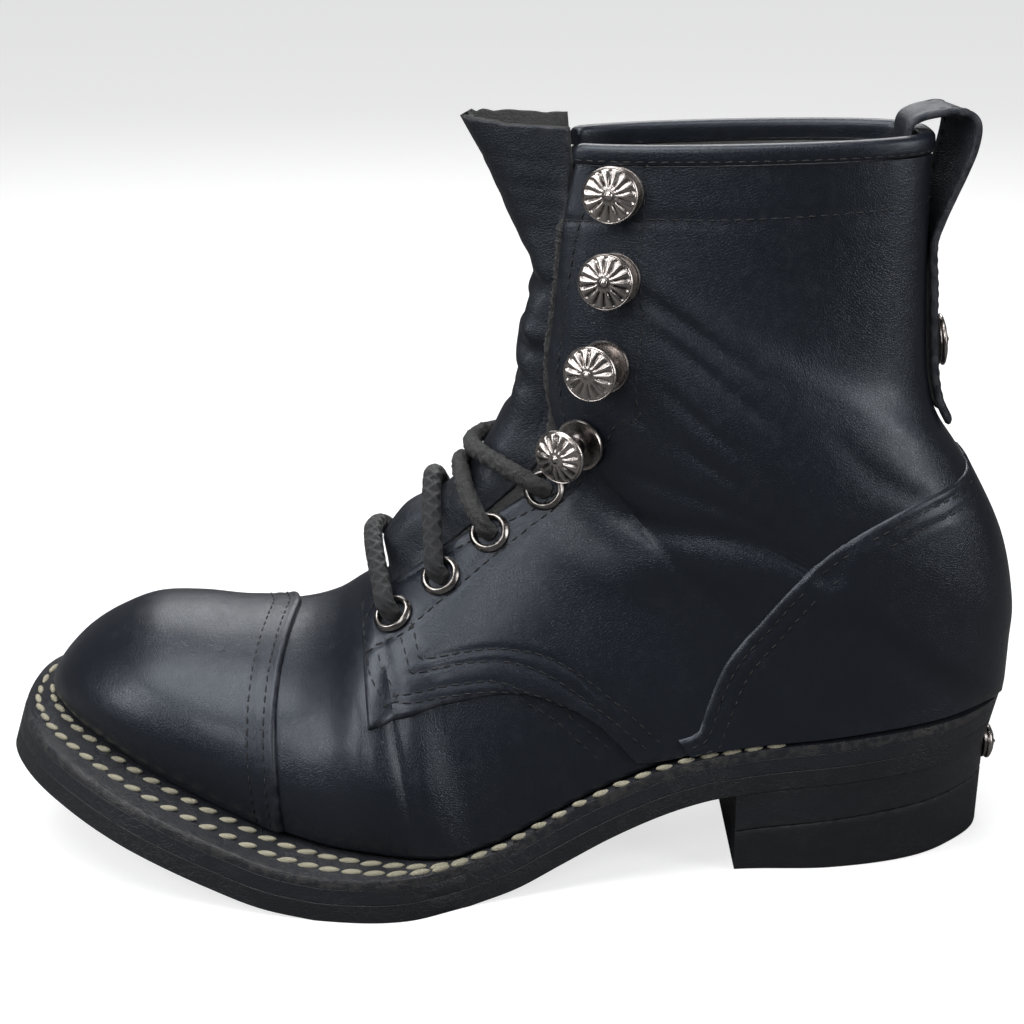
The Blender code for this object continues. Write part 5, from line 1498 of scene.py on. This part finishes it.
def headProfile(radius, crown, foot):
    rise = []
    for share in np.linspace(0.0, 0.12, 4):
        rise.append((share * radius, foot + crown + 0.0006 * math.sqrt(max(1 - (share / 0.125) ** 2, 0)),
                     (0.0, 0)))
    rise.append((0.15 * radius, foot + crown * 0.985, (0.9, 0)))
    rise.append((0.19 * radius, foot + crown * 0.98, (0.5, 0)))
    for share in np.linspace(0.24, 0.90, 16):
        rise.append((share * radius, foot + crown * (1 - 0.62 * share ** 2.2), (0.05, 1)))
    rise += [(0.925 * radius, foot + crown * 0.40, (0.9, 0)), (0.95 * radius, foot + crown * 0.43, (0.1, 0)),
             (0.98 * radius, foot + crown * 0.36, (0.0, 0)), (radius, foot + crown * 0.22, (0.1, 0)),
             (0.985 * radius, foot + crown * 0.05, (0.5, 0)), (0.90 * radius, foot, (0.9, 0))]
    return rise


def makeStuds():
    radius, base, post, reach = studs["head"] / 2, studs["base"] / 2, studs["post"] / 2, studs["reach"]
    crown = studs["crown"]
    profile = headProfile(radius, crown - 0.0004, reach)
    profile += [(post * 1.25, reach - 0.0003, (1, 0)), (post, reach - 0.0010, (1, 0)),
                (post, 0.0016, (0.8, 0)), (post * 1.3, 0.0011, (0.9, 0)), (base * 0.80, 0.0009, (0.75, 0)),
                (base * 0.86, 0.0012, (0.5, 0)), (base * 0.97, 0.0011, (0.3, 0)), (base, 0.0006, (0.4, 0)),
                (base, 0.0, (0.9, 0)), (0.0, 0.0, (1, 0))]
    (points, faces, marks), names = fittedRows(
        "lace_stud", studs["spots"], [lift - gap for lift in studs["lifts"]],
        lambda matrix: turnedParts(profile, studs["steps"], matrix, petals(studs["flutes"], radius)))
    mesh = meshOf("lace_studs", points, faces, finish["silver"], merge=0.000004, rim=marks, sharp=50)
    addPiece("lace_stud_set", mesh, "antique_silver", *names)


def makeOrnaments():
    place, way = strapFrame(ornaments["step"])
    place += Vector((-way.y, way.x)) * (strap["thick"] / 2 + 2 * gap)
    back = standing(Vector(world((place.x, middleSide, place.y))), Vector((0, way.y, way.x)))
    low = Vector((soleUnit["seatLean"] + heel["draw"] * 0.5, float(liftTop(0.0))))
    high = Vector((soleUnit["seatLean"] + heel["draw"] * 0.25, float(underside(0.0))))
    way = (high - low).normalized()
    spot = (low + high) / 2 + Vector((-way.y, way.x)) * gap * 0.5
    rear = standing(Vector(world((spot.x, float(outline(0.0, 1)), spot.y))), Vector((0, way.y, way.x)))
    for name, radius, tall, matrix, node, count in (
            ("back_ornament", ornaments["back"] / 2, ornaments["backRise"], back, "backstay_disc", 12),
            ("heel_ornament", ornaments["heel"] / 2, ornaments["heelRise"], rear, "heel_disc", 10)):
        profile = headProfile(radius, tall * 0.62, tall * 0.24) + [(radius * 0.95, 0.0, (0.9, 0)),
                                                                    (0.0, 0.0, (0.9, 0))]
        points, faces, marks = turnedParts(profile, 96, matrix, petals(count, radius))
        mesh = meshOf(name, points, faces, finish["silver"], merge=0.000004, rim=marks, sharp=50)
        addPiece(name, mesh, "antique_silver", node)


def laceRoute(spots, crest):
    lace = laceBars["lace"]
    over = boot["overlay"] + 0.0011 + lace / 2 + 5 * gap
    middle, rise = crest
    ends = []
    for v, a in spots:
        half = [facePoint(v, a, depth) for depth in (0.04 * lace, 0.8 * lace)]
        for share in (0.96, 0.8, 0.6, 0.4, 0.2):
            place = share ** 1.5
            half.append(facePoint(middle + (v - middle) * place, a * share,
                                  rise * lace + (over - rise * lace) * min(share / 0.75, 1.0) ** 2))
        ends.append(half)
    return ends[0] + [facePoint(middle, 0.0, rise * lace)] + ends[1][::-1]


def braidParts(route, worn, seed):
    table = [(k, *p) for k, p in enumerate(route)]
    at = np.linspace(0, len(route) - 1, 900)
    line = np.stack([smooth(table, at, c) for c in (1, 2, 3)], -1)
    length = np.concatenate(((0,), np.cumsum(np.linalg.norm(np.diff(line, axis=0), axis=1))))
    count = int(length[-1] / laceBars["facet"])
    even = np.linspace(0, length[-1], count)
    line = np.stack([np.interp(even, length, line[:, c]) for c in range(3)], -1)
    way = unit(np.gradient(line, axis=0))
    side = unit(np.cross(way, (0.0, 0.3, 1.0)))
    up = np.cross(side, way)
    steps, radius = laceBars["steps"], laceBars["lace"] / 2
    angle = 2 * math.pi * np.arange(steps) / steps
    turn = 2 * math.pi * even[:, None] / laceBars["lay"]
    strands = laceBars["strands"] / 2
    one = np.cos(strands * angle[None, :] + turn * 2)
    two = np.cos(strands * angle[None, :] - turn * 2)
    weave = np.maximum(np.maximum(one, two), -0.2)
    swell = laceBars["swell"] * (0.45 if worn else 1.0)
    grown = radius * (0.90 + swell * weave)
    if worn:
        fuzz = np.array([[noise.noise(Vector((math.cos(b) * 2.4, math.sin(b) * 2.4, e * 900 + seed)))
                          for b in angle] for e in even])
        grown = grown + laceBars["fuzz"] * fuzz
    points = (line[:, None, :] + grown[..., None] * (np.cos(angle)[None, :, None] * side[:, None, :]
                                                     + np.sin(angle)[None, :, None] * up[:, None, :]))
    return points.reshape(-1, 3), tubeFaces(count, steps)


def makeLaces():
    for k, ((a, u), crest) in enumerate(zip(eyelets["spots"], laceBars["crests"])):
        pair = [mirrored(locate(a, u), side) for side in (1, -1)]
        worn = k >= laceBars["wornFrom"]
        points, faces = braidParts(laceRoute(pair, crest), worn, 5.0 * k)
        mesh = meshOf(f"lace_{k + 1}", points, faces, finish["wornCord" if worn else "cord"],
                      sharp=None)
        addPiece(f"braided_lace_{k + 1}", mesh, "cord", f"lace_bar_{k + 1}")


makeEyelets()
makeStuds()
makeOrnaments()
makeLaces()
print("fittings and laces ready")


# The insole keeps the solid's own shape

insole = frame["nodes"]["insole"]
for slotHere in insole.material_slots:
    slotHere.material = finish["lining"]
